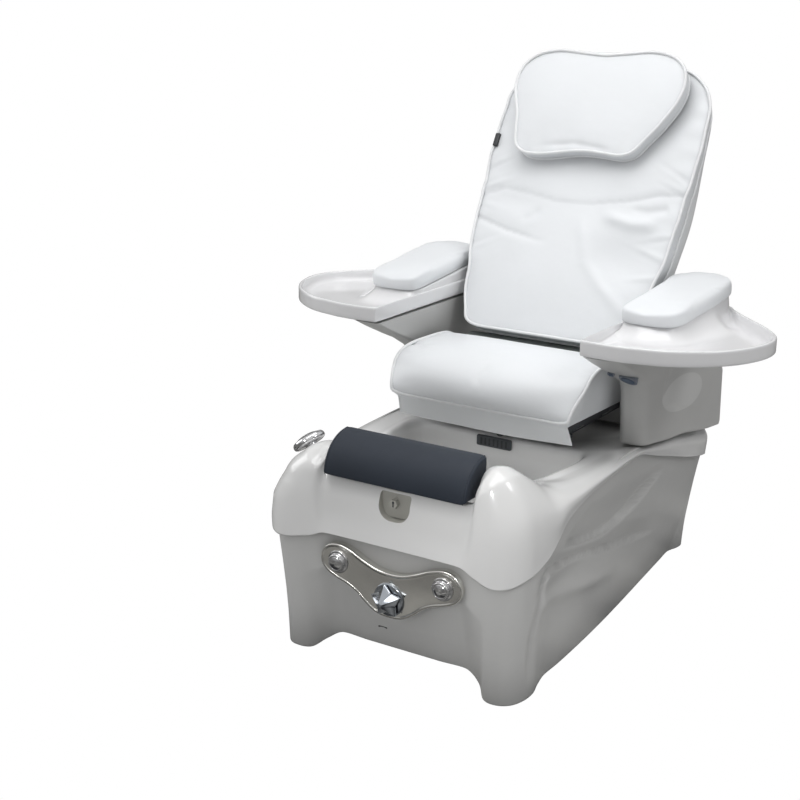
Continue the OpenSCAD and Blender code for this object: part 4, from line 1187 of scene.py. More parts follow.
# strap over the top of the backrest: depth, s
STRAP = [[-42, 782], [-38, 794], [-20, 799.6], [10, 800], [45, 800], [66, 800], [71, 798]]
top = np.array([[[x + 0.4 * math.sin(i * 0.9), s + 0.5 * math.sin(x / 21), depth]
                 for x in np.linspace(-70, 70, 25)]
                for i, (depth, s) in enumerate(smooth_curve(STRAP, 26))])
verts, faces = sheet(back_world(top), back_world(top - [0, 2.4, 0]))
recalc(add("pillow_strap_vinyl", verts, faces, VINYL_THIN, "pillow", "pillow_strap"))

# ------------------------------------------------------------ seat
SEAT_ROWS, SEAT_COLS, GUSSET_ROWS = 46, 49, 6
SEAT_BASE_Z = 560.0
SEAT_CENTRE = [[-207, 574], [-221, 590], [-227, 610], [-224, 638], [-208, 663], [-178, 680],
               [-130, 688], [-60, 690], [20, 688], [70, 682], [97, 671]]  # y, z
SEAT_SIDE = [[244, -205, 575], [250, -209, 584], [254, -204, 600], [260, -190, 622],
             [268, -162, 651], [267, -136, 669], [262, -98, 679], [257, -54, 682],
             [255, 20, 681], [252, 66, 677], [246, 97, 665]]  # x, y, z


def seat():
    centre, side = smooth_curve(SEAT_CENTRE, SEAT_ROWS), smooth_curve(SEAT_SIDE, SEAT_ROWS)
    share = np.linspace(0, 1, SEAT_ROWS)
    base = np.stack([np.linspace(238, 252, SEAT_ROWS),
                     np.interp(share, [0, 0.45, 1], [-194, -120, 97]),
                     np.full(SEAT_ROWS, SEAT_BASE_Z)], 1)
    u = np.linspace(1, -1, SEAT_COLS)
    crown = (1 - np.abs(u) ** 3.4)[:, None]
    down = np.arange(1, GUSSET_ROWS + 1)[:, None] / (GUSSET_ROWS + 1)
    rings = []
    for mid, edge, foot in zip(centre, side, base):
        panel = np.column_stack([u * edge[0], edge[1:] + (mid - edge[1:]) * crown])
        left = (edge + (foot - edge) * down) * MIRROR
        left[:, 0] -= 5 * np.sin(math.pi * down[:, 0])
        bottom = np.tile(foot, (SEAT_COLS, 1))
        bottom[:, 0] = np.linspace(-foot[0], foot[0], SEAT_COLS)
        rings.append(np.vstack([panel, left, bottom, (left * MIRROR)[::-1]]))
    grid = np.stack(rings)
    rows, cols = grid.shape[:2]
    total = rows * cols
    verts = np.vstack([grid.reshape(-1, 3), [grid[0].mean(0)], [grid[-1].mean(0)]])
    ob = add("seat_upholstery", verts, capped_faces(rows, cols), VINYL, "carriage",
             "seat_cushion")
    recalc(ob)
    pins = {total, total + 1, *range(SEAT_COLS), *range(total - cols, total)}
    for row in range(0, total, cols):
        pins |= {row, row + SEAT_COLS - 1}
        pins |= {row + q for q in range(SEAT_COLS + GUSSET_ROWS - 1,
                                        2 * SEAT_COLS + GUSSET_ROWS + 1)}
    inflate(ob, sorted(pins), 5.0, 15)
    subdivide(ob)
    crumple_seat(ob)
    path = np.vstack([(side * MIRROR)[::-1][:-1], grid[0][:SEAT_COLS][::-1][::2], side[1:]])
    tube("seat_piping", smooth_curve(path[::2], 220), 4.3, PIPE, "carriage")


def crumple_seat(ob):
    coords = co_of(ob.data) * 1000
    x, y, z = coords.T
    h = 1.2 * noise2(x / 70, (y + z) / 60, 21) + 0.5 * noise2(x / 25, (y - z) / 26, 22)
    near_seam = np.clip((np.abs(x) - 190) / 60, 0, 1) * ease((z - 575) / 30)
    h += 1.0 * near_seam * np.sin((y - z) / 10 + 2 * noise2(x / 50, y / 50, 23))
    corner = [(262, 772), (220, 800), (160, 812)]  # |x|, z - y
    h -= 3.0 * crease(np.abs(x), z - y, corner, 10, 0, 0.6) * (z > 600)
    outward = np.stack([np.zeros_like(x), np.minimum(y + 60, 0) / 160,
                        np.clip((z - 590) / 90, 0, 1)], 1)
    outward /= norm(outward) + 1e-6
    set_co(ob.data, (coords + outward * (h * (z > 566))[:, None]) / 1000)


def seat_flap():
    """Hanging flap under the seat's front edge, with its hem."""
    rows = []
    for t in np.linspace(0, 1, 16):
        x = np.linspace(-1, 1, 61) * (238 + 6 * t)
        bow = 1 - (x / 244) ** 2
        y = -199 + 25 * t**0.8 - 2.2 * np.sin(x / 47) * t - 6 * bow * (1 - t)
        rows.append(np.column_stack([x, y, 571 - (57 + 5 * bow) * t]))
    face = np.stack(rows)
    verts, faces = sheet(face, face + [0, 3.2, 0])
    recalc(add("seat_flap", verts, faces, VINYL_THIN, "carriage", "seat_skirt"))
    hem = np.vstack([face[2:, 0], face[-1, 1:-1], face[2:, -1][::-1]]) + [0, 1.2, 0]
    tube("seat_flap_hem", hem, 2.1, PIPE, "carriage", sides=8)


seat()
seat_flap()


# ------------------------------------------------------------ foot rest
def footrest():
    """Quarter-round pad lying across the chair, flat below and behind."""
    arc = np.radians(np.linspace(177, 92, 22))
    profile = [[-496 + 99.6 * math.cos(a), 469 + 99.6 * math.sin(a)] for a in arc]
    profile += [[-494.2, 566], [-494.2, 530], [-494.2, 479], [-497, 477.2], [-545, 477.2],
                [-592, 477.2]]  # y, z
    loop = smooth_curve(profile, 84, True)
    centre = np.array([-535.0, 515.0])
    outward = loop - centre
    rounding = [(193, 0.84), (192.4, 0.90), (190, 0.945), (186, 0.975), (181, 0.990)]
    rings = [at_x(x, centre + outward * (scale * 0.99))
             for x, scale in stations(rounding, 174, 35)]
    cols, body_count = len(loop), len(rings) * len(loop)
    faces = grid_faces(len(rings), cols, wrap=True)
    count = body_count
    for x, edge in ((-193, 0), (193, body_count - cols)):  # end caps
        rings += [at_x(x, centre + outward * scale) for scale in (0.7, 0.4, 0.15)]
        rings.append(np.array([[x, *centre]]))
        ids = [*range(edge, edge + cols), *range(count, count + 3 * cols)]
        faces += [tuple(ids[q] for q in f) for f in grid_faces(4, cols, wrap=True)]
        faces += fan(count + 2 * cols, cols, count + 3 * cols)
        count += 3 * cols + 1
    verts = np.vstack(rings)
    ob = add("footrest_upholstery", verts, faces, NAVY, "footrest", "footrest_pad")
    recalc(ob)
    held = [i for i, (x, y, z) in enumerate(verts) if z < 479.5 or y > -496.5 or abs(x) > 185]
    inflate(ob, held, 2.0, 3)
    subdivide(ob)
    for sign, tag in ((-1, "l"), (1, "r")):
        seam = at_x(sign * 186.5, centre + outward * 0.963)
        tube("footrest_seam_" + tag, seam, 0.9, NAVY, "footrest", closed=True, sides=8)


footrest()

# ------------------------------------------------------------ small covers
slab("side_tab", back_world([-294.5, 537, 8.5]), [[1, 0, 0], [0, 0.5, 0.866], BACK_AXIS],
     (7.0, 19, 5.5), 2.5, DARK, "backrest", "back_tab")

# painted shade: a dark sheet closes the slot between seat and backrest, standing in for the shade
# in the gap
layers = [np.array([[[x, 150.4 + radius * math.cos(t),
                      590.2 + radius * math.sin(t) + 0.7 * math.sin(x / 23 + 2 * t)]
                     for x in np.linspace(-226, 226, 31)]
                    for t in np.radians(np.linspace(130, 8, 26))]) for radius in (77.0, 75.4)]
verts, faces = sheet(*layers)
recalc(add("slot_shade_sheet", verts, faces, GAP_SHADE, "carriage"))

# jet cover: plain dark plate; darker strips on it are painted shade in its fine upright slots
FACING_FRONT = [[1, 0, 0], [0, 0, 1], [0, 1, 0]]
JET_X, JET_Z = -12, 452
SLOT_PITCH = 12
slab("jet_cover", (JET_X, -90.6, JET_Z), FACING_FRONT, (50, 14, 3.2), 4, JET, "base",
     "jet_grille")
# painted shade: a thin dark slab for each shaded slot
for k in range(7):
    slab("jet_slot_shade_%d" % k, (JET_X + SLOT_PITCH * (k - 3), -94.0, JET_Z), FACING_FRONT,
         (2.6, 9.5, 0.35), 1.6, DARK, "base")

MOTOR = [(8.7, -85), (12.2, -85), (13, -84.2), (13, 29.2), (12.2, 30), (8.7, 30), (8.7, -85)]
verts, faces = revolve(MOTOR, (0, 0, 481), (0, 1, 0))
recalc(add("recline_motor_tube", verts, faces, DARK, "carriage", "recline_motor", sharp=40))
slab("recline_gearbox", (0, -72, 500.5), FACING_FRONT, (16, 10, 12), 4, DARK, "carriage")


def rear_hood():
    """Box hood behind the seat; profile in y, z."""
    profile = rounded([(296, 437), (296, 530), (500, 530), (554, 503), (554, 400),
                       (296.2, 436.6)], 9, 4)
    centre = np.array([425.0, 470.0])
    rounding = [(262, 0.90), (261.3, 0.94), (259, 0.972), (255, 0.991), (248, 1)]
    rows = [at_x(x, centre + (profile - centre) * [0.5 + 0.5 * scale, scale])
            for x, scale in stations(rounding, 220, 12)]
    verts = np.vstack(rows + [[[-262, *centre], [262, *centre]]])
    faces = capped_faces(len(rows), len(profile))
    recalc(add("rear_hood", verts, faces, PILLAR, "base", "rear_cover", sharp=35), weld=1e-5)


rear_hood()

# ------------------------------------------------------------ trays and pads
CUP_X, CUP_Y = 338.0, 262.0  # centre of the rounded rear ends


def round_cup(pairs):
    """(degrees, radius) about the cup centre to x, y."""
    return [[CUP_X + r * math.cos(math.radians(a)), CUP_Y + r * math.sin(math.radians(a))]
            for a, r in pairs]


# plan outlines of the right-hand pieces: x, y
TRAY_OUTLINE = [
    [400, -243], [492, -218], [570, -166], [624, -98], [654, -12], [650, 62], [606, 132],
    [548, 196], [498, 248]] + round_cup([
        (12, 129), (28, 119), (46, 104), (68, 84), (90, 69), (112, 56.5), (135, 53.8),
        (160, 53.6)]) + [[284, 242], [284, 120], [284, -40], [284, -150]]
PAD_OUTLINE = [
    [291, -12], [296, -36], [318, -46], [356, -49], [398, -47], [427, -34], [443, -1],
    [449, 70], [456, 160], [457, 236]] + round_cup([
        (12, 117), (32, 110), (52, 97), (72, 82), (92, 68), (115, 54), (140, 48),
        (165, 46)]) + [[292, 220], [290, 140], [290, 60]]
PLINTH_OUTLINE = [
    [296, -18], [302, -34], [342, -42], [388, -40], [418, -28], [435, 2], [443, 70],
    [449, 160], [450, 236]] + round_cup([
        (12, 110), (32, 103), (52, 90), (74, 75), (96, 61), (120, 50.5), (146, 50),
        (168, 50)]) + [[288, 220], [288, 120], [289, 0]]
CORNER = (285, -238.6)  # sharp inner front corner of the tray
tray_line = np.vstack([[CORNER, (286.5, -240)], smooth_curve(TRAY_OUTLINE, 500),
                       [[284, -236]]])
TRAY_CENTRE = np.array([368.0, 150.0])


def polar(outline, angles):
    """Radius of an outline about the tray centre at the given angles."""
    d = np.asarray(outline) - TRAY_CENTRE
    angle, radius = np.arctan2(d[:, 1], d[:, 0]), np.hypot(d[:, 0], d[:, 1])
    order = np.argsort(angle)
    angle = angle[order]
    angle = np.concatenate([angle - math.tau, angle, angle + math.tau])
    return np.interp(angles, angle, np.tile(radius[order], 3))


corner_angle = math.atan2(CORNER[1] - TRAY_CENTRE[1], CORNER[0] - TRAY_CENTRE[0])
TRAY_ANGLES = np.sort(np.concatenate([
    np.linspace(-math.pi, math.pi, 340, endpoint=False),
    corner_angle + np.array([-0.006, -0.003, 0, 0.003, 0.006])]))
# the pads lean up to the rear about a line at y = -80
TILT, HINGE_Y, PAD_Z = math.radians(5.7), -80, 797.0
TRAY_BASE, TRAY_FLOOR, RIM_INNER = 757.0, 766.0, 789
# outer wall and rim: inset from the outline, z
TRAY_WALL = ((6, 757), (2.6, 757.5), (0.8, 759.2), (0, 763), (0, 770), (0, 779), (0, 786),
             (0.1, 790.5), (0.9, 793.2), (2.6, 794.7), (5.2, 795), (7.6, 794.6), (9.4, 793.0),
             (10.2, 789.5))


def pad_plane(y):
    return PAD_Z - 0.5 + (y - HINGE_Y) * math.tan(TILT)


def even(values, reach):
    """Running mean round the rim."""
    kernel = np.hanning(2 * reach + 1)
    kernel /= kernel.sum()
    wrapped = np.concatenate([values[-reach:], values, values[:reach]])
    return np.convolve(wrapped, kernel, "valid")


def tray_mesh(sign, name, replaced, body):
    """Dished tray rising to the plinth that carries the pad."""
    outer = polar(tray_line, TRAY_ANGLES)
    plinth = polar(smooth_curve(PLINTH_OUTLINE, 300, True), TRAY_ANGLES)
    plinth = np.minimum(plinth, outer - 4.0)
    cos, sin = np.cos(TRAY_ANGLES), np.sin(TRAY_ANGLES)
    top = pad_plane(TRAY_CENTRE[1] + plinth * sin)
    width = np.maximum(outer - 12.5 - plinth, 0.2)
    opened = even(ease((width - 4) / 60), 14)  # 0 where there is no room for a dish
    slope = even(np.minimum(width * 0.72, 78), 10)
    rings = [(outer * scale, TRAY_BASE) for scale in (0.5, 0.85)]
    rings += [(outer - inset, z) for inset, z in TRAY_WALL]
    for q, z in ((0.0, 778), (0.05, 771.5), (0.12, 768)):
        rings.append((outer - 11 - width * q * 0.7, RIM_INNER + (z - RIM_INNER) * opened))
    rings.append((outer - 12.5 - (width - slope) * 0.5,
                  RIM_INNER + (TRAY_FLOOR - RIM_INNER) * opened))
    for q in np.linspace(0, 1, 14):
        dished = TRAY_FLOOR + (top - 3 - TRAY_FLOOR) * q**2.6
        filled = RIM_INNER + (top - 3 - RIM_INNER) * q
        rings.append((plinth + slope * (1 - q), dished * opened + (1 - opened) * filled))
    rings += [(plinth - 0.8, top - 1), (plinth - 3, top)]
    rings += [(plinth * q, pad_plane(TRAY_CENTRE[1] + plinth * q * sin)) for q in (0.8, 0.4)]
    verts = [np.column_stack([TRAY_CENTRE[0] + r * cos, TRAY_CENTRE[1] + r * sin,
                              np.broadcast_to(z, r.shape)]) for r, z in rings]
    verts.append([[*TRAY_CENTRE, TRAY_BASE], [*TRAY_CENTRE, pad_plane(TRAY_CENTRE[1])]])
    verts = np.vstack(verts) * [sign, 1, 1]
    faces = capped_faces(len(rings), len(TRAY_ANGLES))
    recalc(add(name, verts, faces, TRAY, body, replaced, sharp=70))


# pad rings: scale of the outline, further inset, height before stretching
PAD_RINGS = [(0.55, 0, 0.5), (0.9, 0, 0.5), (1, 5, 0.6), (1, 1.6, 2.4), (1, 0.2, 6),
             (1, -0.2, 13), (1, 0, 21), (1, 1.0, 27), (1, 3.4, 31.2), (1, 8.0, 33.6),
             (1, 15, 34.6)] + [(q, 0, 35.2 + 1.2 * (1 - q)) for q in (0.78, 0.62, 0.46, 0.3, 0.15)]
PAD_STRETCH = 1.1


def pad_mesh(sign, name, replaced, body):
    angles = np.linspace(-math.pi, math.pi, 132, endpoint=False)
    outline = polar(smooth_curve(PAD_OUTLINE, 300, True), angles)
    verts = []
    for scale, inset, height in PAD_RINGS:
        r = outline * scale - inset
        plan = np.column_stack([TRAY_CENTRE[0] + r * np.cos(angles),
                                TRAY_CENTRE[1] + r * np.sin(angles)])
        verts.append(at_depth(plan, height * PAD_STRETCH))
    x, y, z = np.vstack(verts + [[[*TRAY_CENTRE, 0.5], [*TRAY_CENTRE, 40.0]]]).T
    y = y - HINGE_Y
    verts = np.column_stack([sign * x, HINGE_Y + y * math.cos(TILT) - z * math.sin(TILT),
                             PAD_Z + y * math.sin(TILT) + z * math.cos(TILT)])
    rows, cols = len(PAD_RINGS), len(angles)
    ob = add(name, verts, capped_faces(rows, cols), VINYL, body, replaced)
    recalc(ob)
    inflate(ob, list(range(5 * cols)) + [rows * cols], 3.0, 4.0, frames=12)
    subdivide(ob)
    coords = co_of(ob.data) * 1000
    x, y, z = coords.T
    z += ease((z - 815) / 20) * 0.6 * noise2(x / 45, y / 45, 31)
    set_co(ob.data, coords / 1000)


for sign, tag in ((1, "right"), (-1, "left")):
    tray_mesh(sign, tag + "_manicure_tray", tag + "_tray", tag + "_arm_top")
    pad_mesh(sign, tag + "_pad_upholstery", tag + "_arm_pad", tag + "_arm_top")

# ------------------------------------------------------------ switches
LONG_AXIS = (np.array([0.844, 0.536, 0]) * math.cos(0.42)
             + np.array([0.15, -0.236, -0.96]) * math.sin(0.42))


def oval(name, centre, facing, half_long, half_short, low, high, mat, body, replaced=None,
         dish=0.0, bezel=False):
    """Oval button from height low to high along facing; a bezel has a sunken middle."""
    facing = np.asarray(facing, float) / np.linalg.norm(facing)
    u = square_to(LONG_AXIS, facing)
    v = np.cross(facing, u)
    t = np.linspace(0, math.tau, 64, endpoint=False)[:, None]
    profile = [(0.0, low), (1.0, low), (1.0, high - 1.0), (0.985, high - 0.4),
               (0.95, high - 0.05), (0.9, high)]
    if bezel:
        profile += [(0.84, high - 0.1), (0.80, high - 0.8), (0.78, high - 1.6),
                    (0.5, high - 1.6), (0.0, high - 1.6)]
    else:
        profile += [(q, high + rise - dish) for q, rise in ((0.6, 0.3), (0.3, 0.4), (0.0, 0.4))]
    edge = half_long * np.cos(t) * u + half_short * np.sin(t) * v
    rings = [np.asarray(centre) + q * edge + facing * height for q, height in profile]
    faces = grid_faces(len(rings), 64, wrap=True)
    recalc(add(name, np.vstack(rings), faces, mat, body, replaced, sharp=50), weld=1e-6)


SWITCH = dict(centre=(336.4, -67.2, 669.2), facing=(0.22, -0.80, -0.50))
BUTTON = dict(centre=(301.5, -92.5, 683.5), facing=(0.1, -0.72, -0.62))
oval("switch_bezel", **SWITCH, half_long=24, half_short=10, low=-19, high=4.2, mat=BEZEL,
     body="base", replaced="switch_bezels", bezel=True)
oval("switch_rocker", **SWITCH, half_long=17.5, half_short=6.0, low=2.9, high=4.9, mat=BLUE,
     body="power_rocker", replaced="rocker_switch", dish=0.5)
oval("button_bezel", **BUTTON, half_long=9.5, half_short=7.0, low=-10, high=2.6, mat=BEZEL,
     body="base", bezel=True)
oval("button_cap", **BUTTON, half_long=6.2, half_short=4.4, low=0.5, high=3.6, mat=BLUE,
     body="massage_push", replaced="massage_button")

# ------------------------------------------------------------ chrome fittings
FORWARD = (0, -1, 0)
FITTING_Y = -598
# right half of the tap plate, top to bottom: x, z
PLATE_HALF = np.array([
    [0, 269], [34, 272], [72, 285], [108, 301], [146, 309.5], [177, 301], [193, 278],
    [192, 254], [176, 235], [150, 223], [118, 213], [92, 200], [66, 179], [36, 162],
    [0, 157.5]], float)
PLATE_FACE_Y = -596.9
PLATE_STEPS = [(1.0, -570), (0, -572), (0, -594.5), (0.8, -597.0), (2.6, -598.4),
               (5.0, -598.7), (6.6, -597.8), (7.6, -597.0), (9.5, PLATE_FACE_Y)]  # inset, y


def tap_plate():
    outline = smooth_curve(mirrored(PLATE_HALF), 260, True)
    run = np.roll(outline, -1, 0) - np.roll(outline, 1, 0)
    inward = np.stack([run[:, 1], -run[:, 0]], 1)
    inward /= norm(inward)
    rings = [(outline + inward * inset, y) for inset, y in PLATE_STEPS]
    centre, last = np.array([0.0, 226.0]), rings[-1][0]
    rings += [(centre + (last - centre) * q, PLATE_FACE_Y) for q in (0.8, 0.5, 0.2)]
    verts = [np.insert(plan, 1, y, axis=1) for plan, y in rings]
    verts = np.vstack(verts + [[[0, PLATE_FACE_Y, 226]]])
    count, total = len(outline), len(verts) - 1
    faces = grid_faces(len(rings), count, wrap=True) + fan(total - count, count, total)
    recalc(add("tap_plate", verts, faces, PLATE, "base", "faucet_plate", sharp=50))


def tap_knob(sign, name, replaced, body):
    """Turned knob with 24 side flutes and a small stud above its middle."""
    x, z = sign * 144, 265
    profile = rounded([(6, -12), (6, -0.5), (28, -0.5), (28, 1.6), (26.5, 2.8), (22, 3.2),
                       (21.4, 4.2), (21.2, 10.5), (19.6, 12.6), (17.4, 13), (16.6, 12.2),
                       (14.5, 13.6), (8, 16.2), (0.01, 17)], 1.2, 3)
    flute = rounded([(0.01, 4.5), (1.0, 4.7), (1.0, 9.6), (0.01, 10)], 0.4, 2)
    stud = rounded([(0.01, 11), (2.0, 11.2), (2.0, 15.2), (0.01, 15.6)], 0.6, 2)
    parts = [revolve(profile, (x, FITTING_Y, z), FORWARD)]
    for k in range(24):
        a = k / 24 * math.tau
        at = (x + 21.0 * math.cos(a), FITTING_Y, z + 21.0 * math.sin(a))
        parts.append(revolve(flute, at, FORWARD, segments=8))
    parts.append(revolve(stud, (x, FITTING_Y, z + 13), FORWARD, segments=16))
    recalc(add(name, *join(parts), CHROME, body, replaced, sharp=45))


def diverter_knob():
    """Five-pointed faceted cone on a turned base."""
    z0, turn = 204, 0.42
    base = rounded([(6, -12), (6, -0.5), (40, -0.5), (41, 2), (38, 4), (34, 5), (30, 5.5),
                    (20, 6), (0.01, 6)], 1.2, 3)
    # height, radius at the points, radius between them
    steps = ((8.6, 41, 26), (11.5, 42.5, 27), (14.5, 41, 26), (24, 29, 19), (33, 18, 13),
             (39, 10.5, 8.5), (42, 5.5, 5), (42.8, 0.5, 0.5))
    star = []
    for height, outer, inner in steps:
        for k in range(100):
            a = k / 100 * 5
            t = abs((a % 1) - 0.5) * 2  # 1 at a point of the star, 0 between two
            px = outer * t + inner * math.cos(math.pi / 5) * (1 - t)
            py = inner * math.sin(math.pi / 5) * (1 - t) * (1 if (a % 1) < 0.5 else -1)
            point = math.tau / 5 * round(a) + turn
            star.append([px * math.cos(point) - py * math.sin(point), FITTING_Y - height,
                         z0 + px * math.sin(point) + py * math.cos(point)])
    parts = [revolve(base, (0, FITTING_Y, z0), FORWARD),
             (star, grid_faces(len(steps), 100, wrap=True))]
    recalc(add("diverter_knob", *join(parts), STAR, "diverter", "diverter_handle", sharp=28))


def hand_shower():
    """Shower head and its socket on the left column, leaning out to the left."""
    lean = math.radians(38)
    axis = np.array([-math.sin(lean), 0, math.cos(lean)])
    across = np.array([math.cos(lean), 0, math.sin(lean)])
    origin = np.array([-319.0, -447, 465])
    head = rounded([(0.01, 9.6), (10, 9.6), (10, 18), (20, 19), (36, 21), (42, 24),
                    (43.5, 29), (42.5, 35), (39, 39.5), (36.5, 40.5), (35.5, 40.0),
                    (30, 42.5), (16, 46.6), (0.01, 47.6)], 2.0, 4)
    parts = [revolve(head, origin, axis)]
    for radius, count in ((7, 6), (14, 12), (20.5, 18)):  # rings of nozzles
        for k in range(count):
            a = k / count * math.tau
            at = (origin + across * radius * math.cos(a)
                  + np.array([0, 1.0, 0]) * radius * math.sin(a)
                  - axis * (0.4 + 3.0 * (radius / 24) ** 2))
            parts.append(revolve([(1.2, 44), (1.1, 48.2), (0.01, 48.8)], at, axis, segments=8))
    recalc(add("shower_head", *join(parts), CHROME, "shower_handset", "hand_shower", sharp=40))
    socket = rounded([(10.6, 21.5), (10.6, 8.2), (11, 7.2), (20, 7.0), (20.6, 8), (20, 10),
                      (15.6, 11), (15.2, 20.8), (14, 21.8), (10.6, 21.5)], 0.8, 3)
    recalc(add("shower_socket", *revolve(socket, origin, axis), CHROME, "base",
               "shower_holder", sharp=40))


def niche_face():
    """Face of the recess the post runs behind, with a round hole."""
    half, top, hole_radius, hole_z = 40.5, 478, 11.6, 436
    arch = smooth_curve([[-half, top], [-half, 440], [-half, 420], [-36, 406], [-24, 399],
                         [0, 398], [24, 399], [36, 406], [half, 420], [half, 440],
                         [half, top]], 80)
    outer = resample(np.vstack([at_depth(np.linspace(0, -half, 12)[:-1], top), arch,
                                at_depth(np.linspace(half, 0, 12)[1:], top)]), 80)
    angle = np.linspace(math.pi / 2, -1.5 * math.pi, 80)
    hole = np.column_stack([hole_radius * np.cos(angle), hole_z + hole_radius * np.sin(angle)])
    verts = [np.insert(hole * (1 - t) + outer * t, 1, 1.5 * t**3 - 570.5, axis=1)
             for t in np.linspace(0, 1, 9)]
    add("niche_face", np.vstack(verts), grid_faces(9, 80), NICHE, "base")


def knob_slot_shade():
    """Painted shade: small dark keyhole on the clamp knob, a disc and a bar below it standing in
    for the shaded hole.
    """
    disc = rounded([(0.01, -586.3), (2.6, -586.3), (3.0, -586.0), (3.0, -585.2),
                    (0.01, -585.0)], 0.3, 2)
    bar = [[x, y, z] for y in (-586.2, -585) for z in (429, 441) for x in (-1.7, 1.7)]
    bar_faces = [(0, 1, 3, 2), (6, 7, 5, 4), (0, 4, 5, 1), (1, 5, 7, 3), (3, 7, 6, 2),
                 (2, 6, 4, 0)]
    # corners in the order of a loop round each face
    bar = [bar[i] for i in (0, 1, 3, 2, 4, 5, 7, 6)]
    order = {0: 0, 1: 1, 3: 2, 2: 3, 4: 4, 5: 5, 7: 6, 6: 7}
    bar_faces = [tuple(order[i] for i in f) for f in bar_faces]
    parts = [revolve(disc, (0, 0, 440), (0, 1, 0), segments=20), (bar, bar_faces)]
    # painted shade: dark disc and bar for the shaded keyhole
    recalc(add("knob_slot_shade", *join(parts), DARK, "footrest_clamp", sharp=40))


tap_plate()
tap_knob(-1, "hot_tap_knob", "hot_handle", "hot_tap")
tap_knob(1, "cold_tap_knob", "cold_handle", "cold_tap")
diverter_knob()
hand_shower()
niche_face()
knob_slot_shade()


# ------------------------------------------------------------ stage and light
def floor_material():
    """Pale floor; the camera sees plain white, polished metal a dim, streaky room."""
    mat = material("floor_pale", (0.58, 0.58, 0.58), rough=0.8, var=0.01, var_scale=0.8,
                   bump=[("noise", 120, 0.0001)])
    tree = mat.node_tree
    output = tree.nodes["Material Output"]
    surface = output.inputs["Surface"].links[0].from_socket
    path = node(tree, "LightPath")
    backdrop = node(tree, "Emission", {"Color": (1, 1, 1, 1)})
    room = node(tree, "Emission")
    place = node(tree, "TexCoord").outputs["Object"]
    mapping = node(tree, "Mapping", {"Scale": (1.0, 2.6, 1.0), "Vector": place})
    streaks = node(tree, "TexNoise", {"Scale": 1.3, "Vector": mapping.outputs["Vector"]})
    ramp = color_ramp(tree, (0.40, (0.035, 0.035, 0.037)), (0.62, (0.36, 0.355, 0.34)))
    feed(tree, ramp, {"Fac": streaks.outputs["Fac"]})
    feed(tree, room, {"Color": ramp.outputs["Color"]})
    glossy = node(tree, "MixShader", {"Fac": path.outputs["Is Glossy Ray"], 1: surface,
                                      2: room.outputs["Emission"]})
    seen = node(tree, "MixShader", {"Fac": path.outputs["Is Camera Ray"],
                                    1: glossy.outputs["Shader"],
                                    2: backdrop.outputs["Emission"]})
    feed(tree, output, {"Surface": seen.outputs["Shader"]})
    return mat


floor_mat = floor_material()
floor_mesh = bpy.data.meshes.new("floor")
floor_mesh.from_pydata([(-9, -9, 0), (9, -9, 0), (9, 9, 0), (-9, 9, 0)], [], [(0, 1, 2, 3)])
floor_mesh.materials.append(floor_mat)
link(bpy.data.objects.new("floor", floor_mesh))


def studio_world():
    """White to the camera, soft white light, and a dark-to-pale sweep in reflections."""
    world = bpy.data.worlds.new("studio")
    scene.world = world
    world.use_nodes = True
    tree = world.node_tree
    white = (1, 1, 1, 1)
    ambient = tree.nodes["Background"]
    feed(tree, ambient, {"Color": white, "Strength": 0.40})
    backdrop = node(tree, "Background", {"Color": white, "Strength": 1.0})
    path = node(tree, "LightPath")
    seen = node(tree, "MixShader", {"Fac": path.outputs["Is Camera Ray"]})
    reflected = node(tree, "Background", {"Strength": 1.0})
    place = node(tree, "TexCoord")
    split = node(tree, "SeparateXYZ", {0: place.outputs["Generated"]})
    ramp = color_ramp(tree, (0.48, (0.10, 0.10, 0.10)), (0.80, (0.75, 0.75, 0.75)))
    feed(tree, ramp, {"Fac": map_range(tree, split.outputs["Z"], -1, 1, 0, 1)})
    feed(tree, reflected, {"Color": ramp.outputs["Color"]})
    light = node(tree, "MixShader", {"Fac": path.outputs["Is Glossy Ray"],
                                     1: ambient.outputs["Background"],
                                     2: reflected.outputs["Background"]})
    feed(tree, seen, {1: light.outputs["Shader"], 2: backdrop.outputs["Background"]})
    feed(tree, tree.nodes["World Output"], {"Surface": seen.outputs["Shader"]})


studio_world()


def lamp(name, kind, location, target, **settings):
    light = bpy.data.lights.new(name, kind)
    for key, value in settings.items():
        setattr(light, key, value)
    ob = link(bpy.data.objects.new(name, light))
    ob.location = location
    aim = Vector(target) - Vector(location)
    ob.rotation_euler = aim.to_track_quat("-Z", "Y").to_euler()


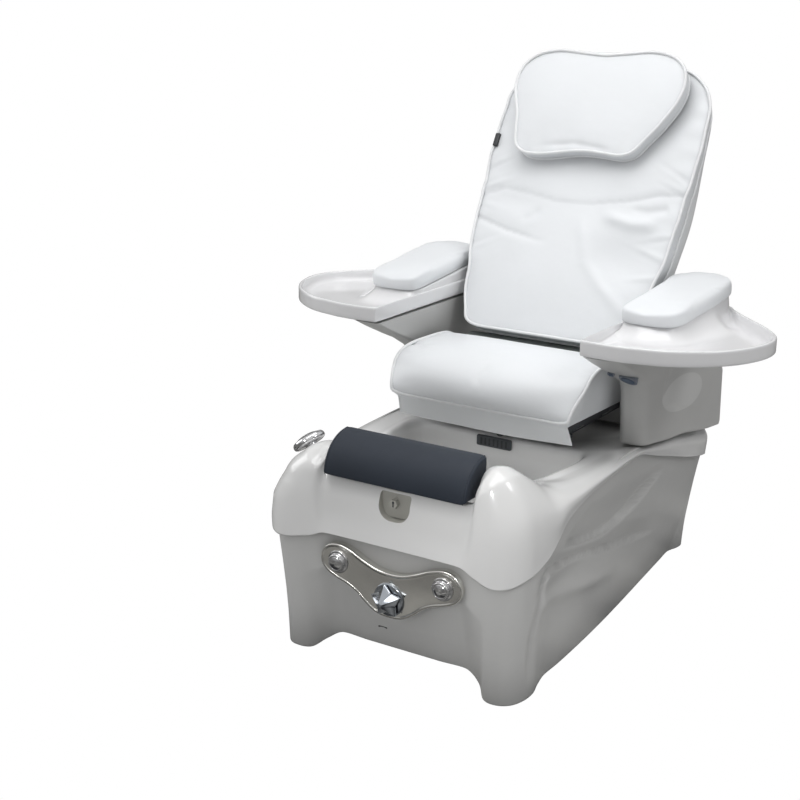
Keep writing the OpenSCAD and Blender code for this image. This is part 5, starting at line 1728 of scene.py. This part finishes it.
# name, location, target, size in metres, watts
for name, location, target, size, power in (
        ("key", (-0.7, -1.6, 3.6), (0, -0.1, 0.6), 1.5, 26),
        ("top", (0.1, 0.1, 3.7), (0, 0.1, 0.5), 2.0, 33),
        ("fill_left", (-3.2, -0.6, 1.4), (0, 0, 0.7), 1.6, 17),
        ("fill_right", (2.7, -0.2, 2.9), (0.3, 0, 0.4), 0.9, 17)):
    lamp(name, "AREA", location, target, energy=power, size=size)

# name, location, target, watts, cone angle in degrees
for name, location, target, power, cone in (
        ("glow_right_column", (0.75, -3.4, 1.7), (0.255, -0.57, 0.44), 215, 9.0),
        ("glow_left_column", (-0.6, -3.4, 1.9), (-0.27, -0.57, 0.44), 60, 9.0),
        ("glow_right_tray", (0.7, -0.9, 3.0), (0.50, -0.05, 0.78), 38, 16),
        ("glow_seat", (0.1, -1.2, 3.2), (0.03, -0.02, 0.69), 26, 15),
        ("glow_back", (-0.5, -2.8, 2.3), (-0.05, 0.25, 1.0), 34, 15)):
    lamp(name, "SPOT", location, target, energy=power, spot_size=math.radians(cone),
         spot_blend=1.0, shadow_soft_size=0.25)


# ------------------------------------------------------------ camera
def add_camera(location, azimuth, pitch, roll, lens):
    """Camera in front and to the right, looking down; angles in degrees, lens in mm."""
    azimuth, pitch, roll = map(math.radians, (azimuth, pitch, roll))
    back = Vector((math.sin(azimuth) * math.cos(pitch), -math.cos(azimuth) * math.cos(pitch),
                   math.sin(pitch)))
    level = Vector((math.cos(azimuth), math.sin(azimuth), 0))
    upright = back.cross(level)
    right = math.cos(roll) * level + math.sin(roll) * upright
    up = -math.sin(roll) * level + math.cos(roll) * upright
    camera = bpy.data.cameras.new("camera")
    camera.sensor_width = 36.0
    camera.lens = lens
    ob = link(bpy.data.objects.new("camera", camera))
    rows = [(right[i], up[i], back[i], location[i]) for i in range(3)]
    ob.matrix_world = Matrix((*rows, (0, 0, 0, 1)))
    scene.camera = ob


add_camera(location=(1.682803, -3.211807, 1.594289), azimuth=32.425, pitch=16.256,
           roll=0.885, lens=65.317545)
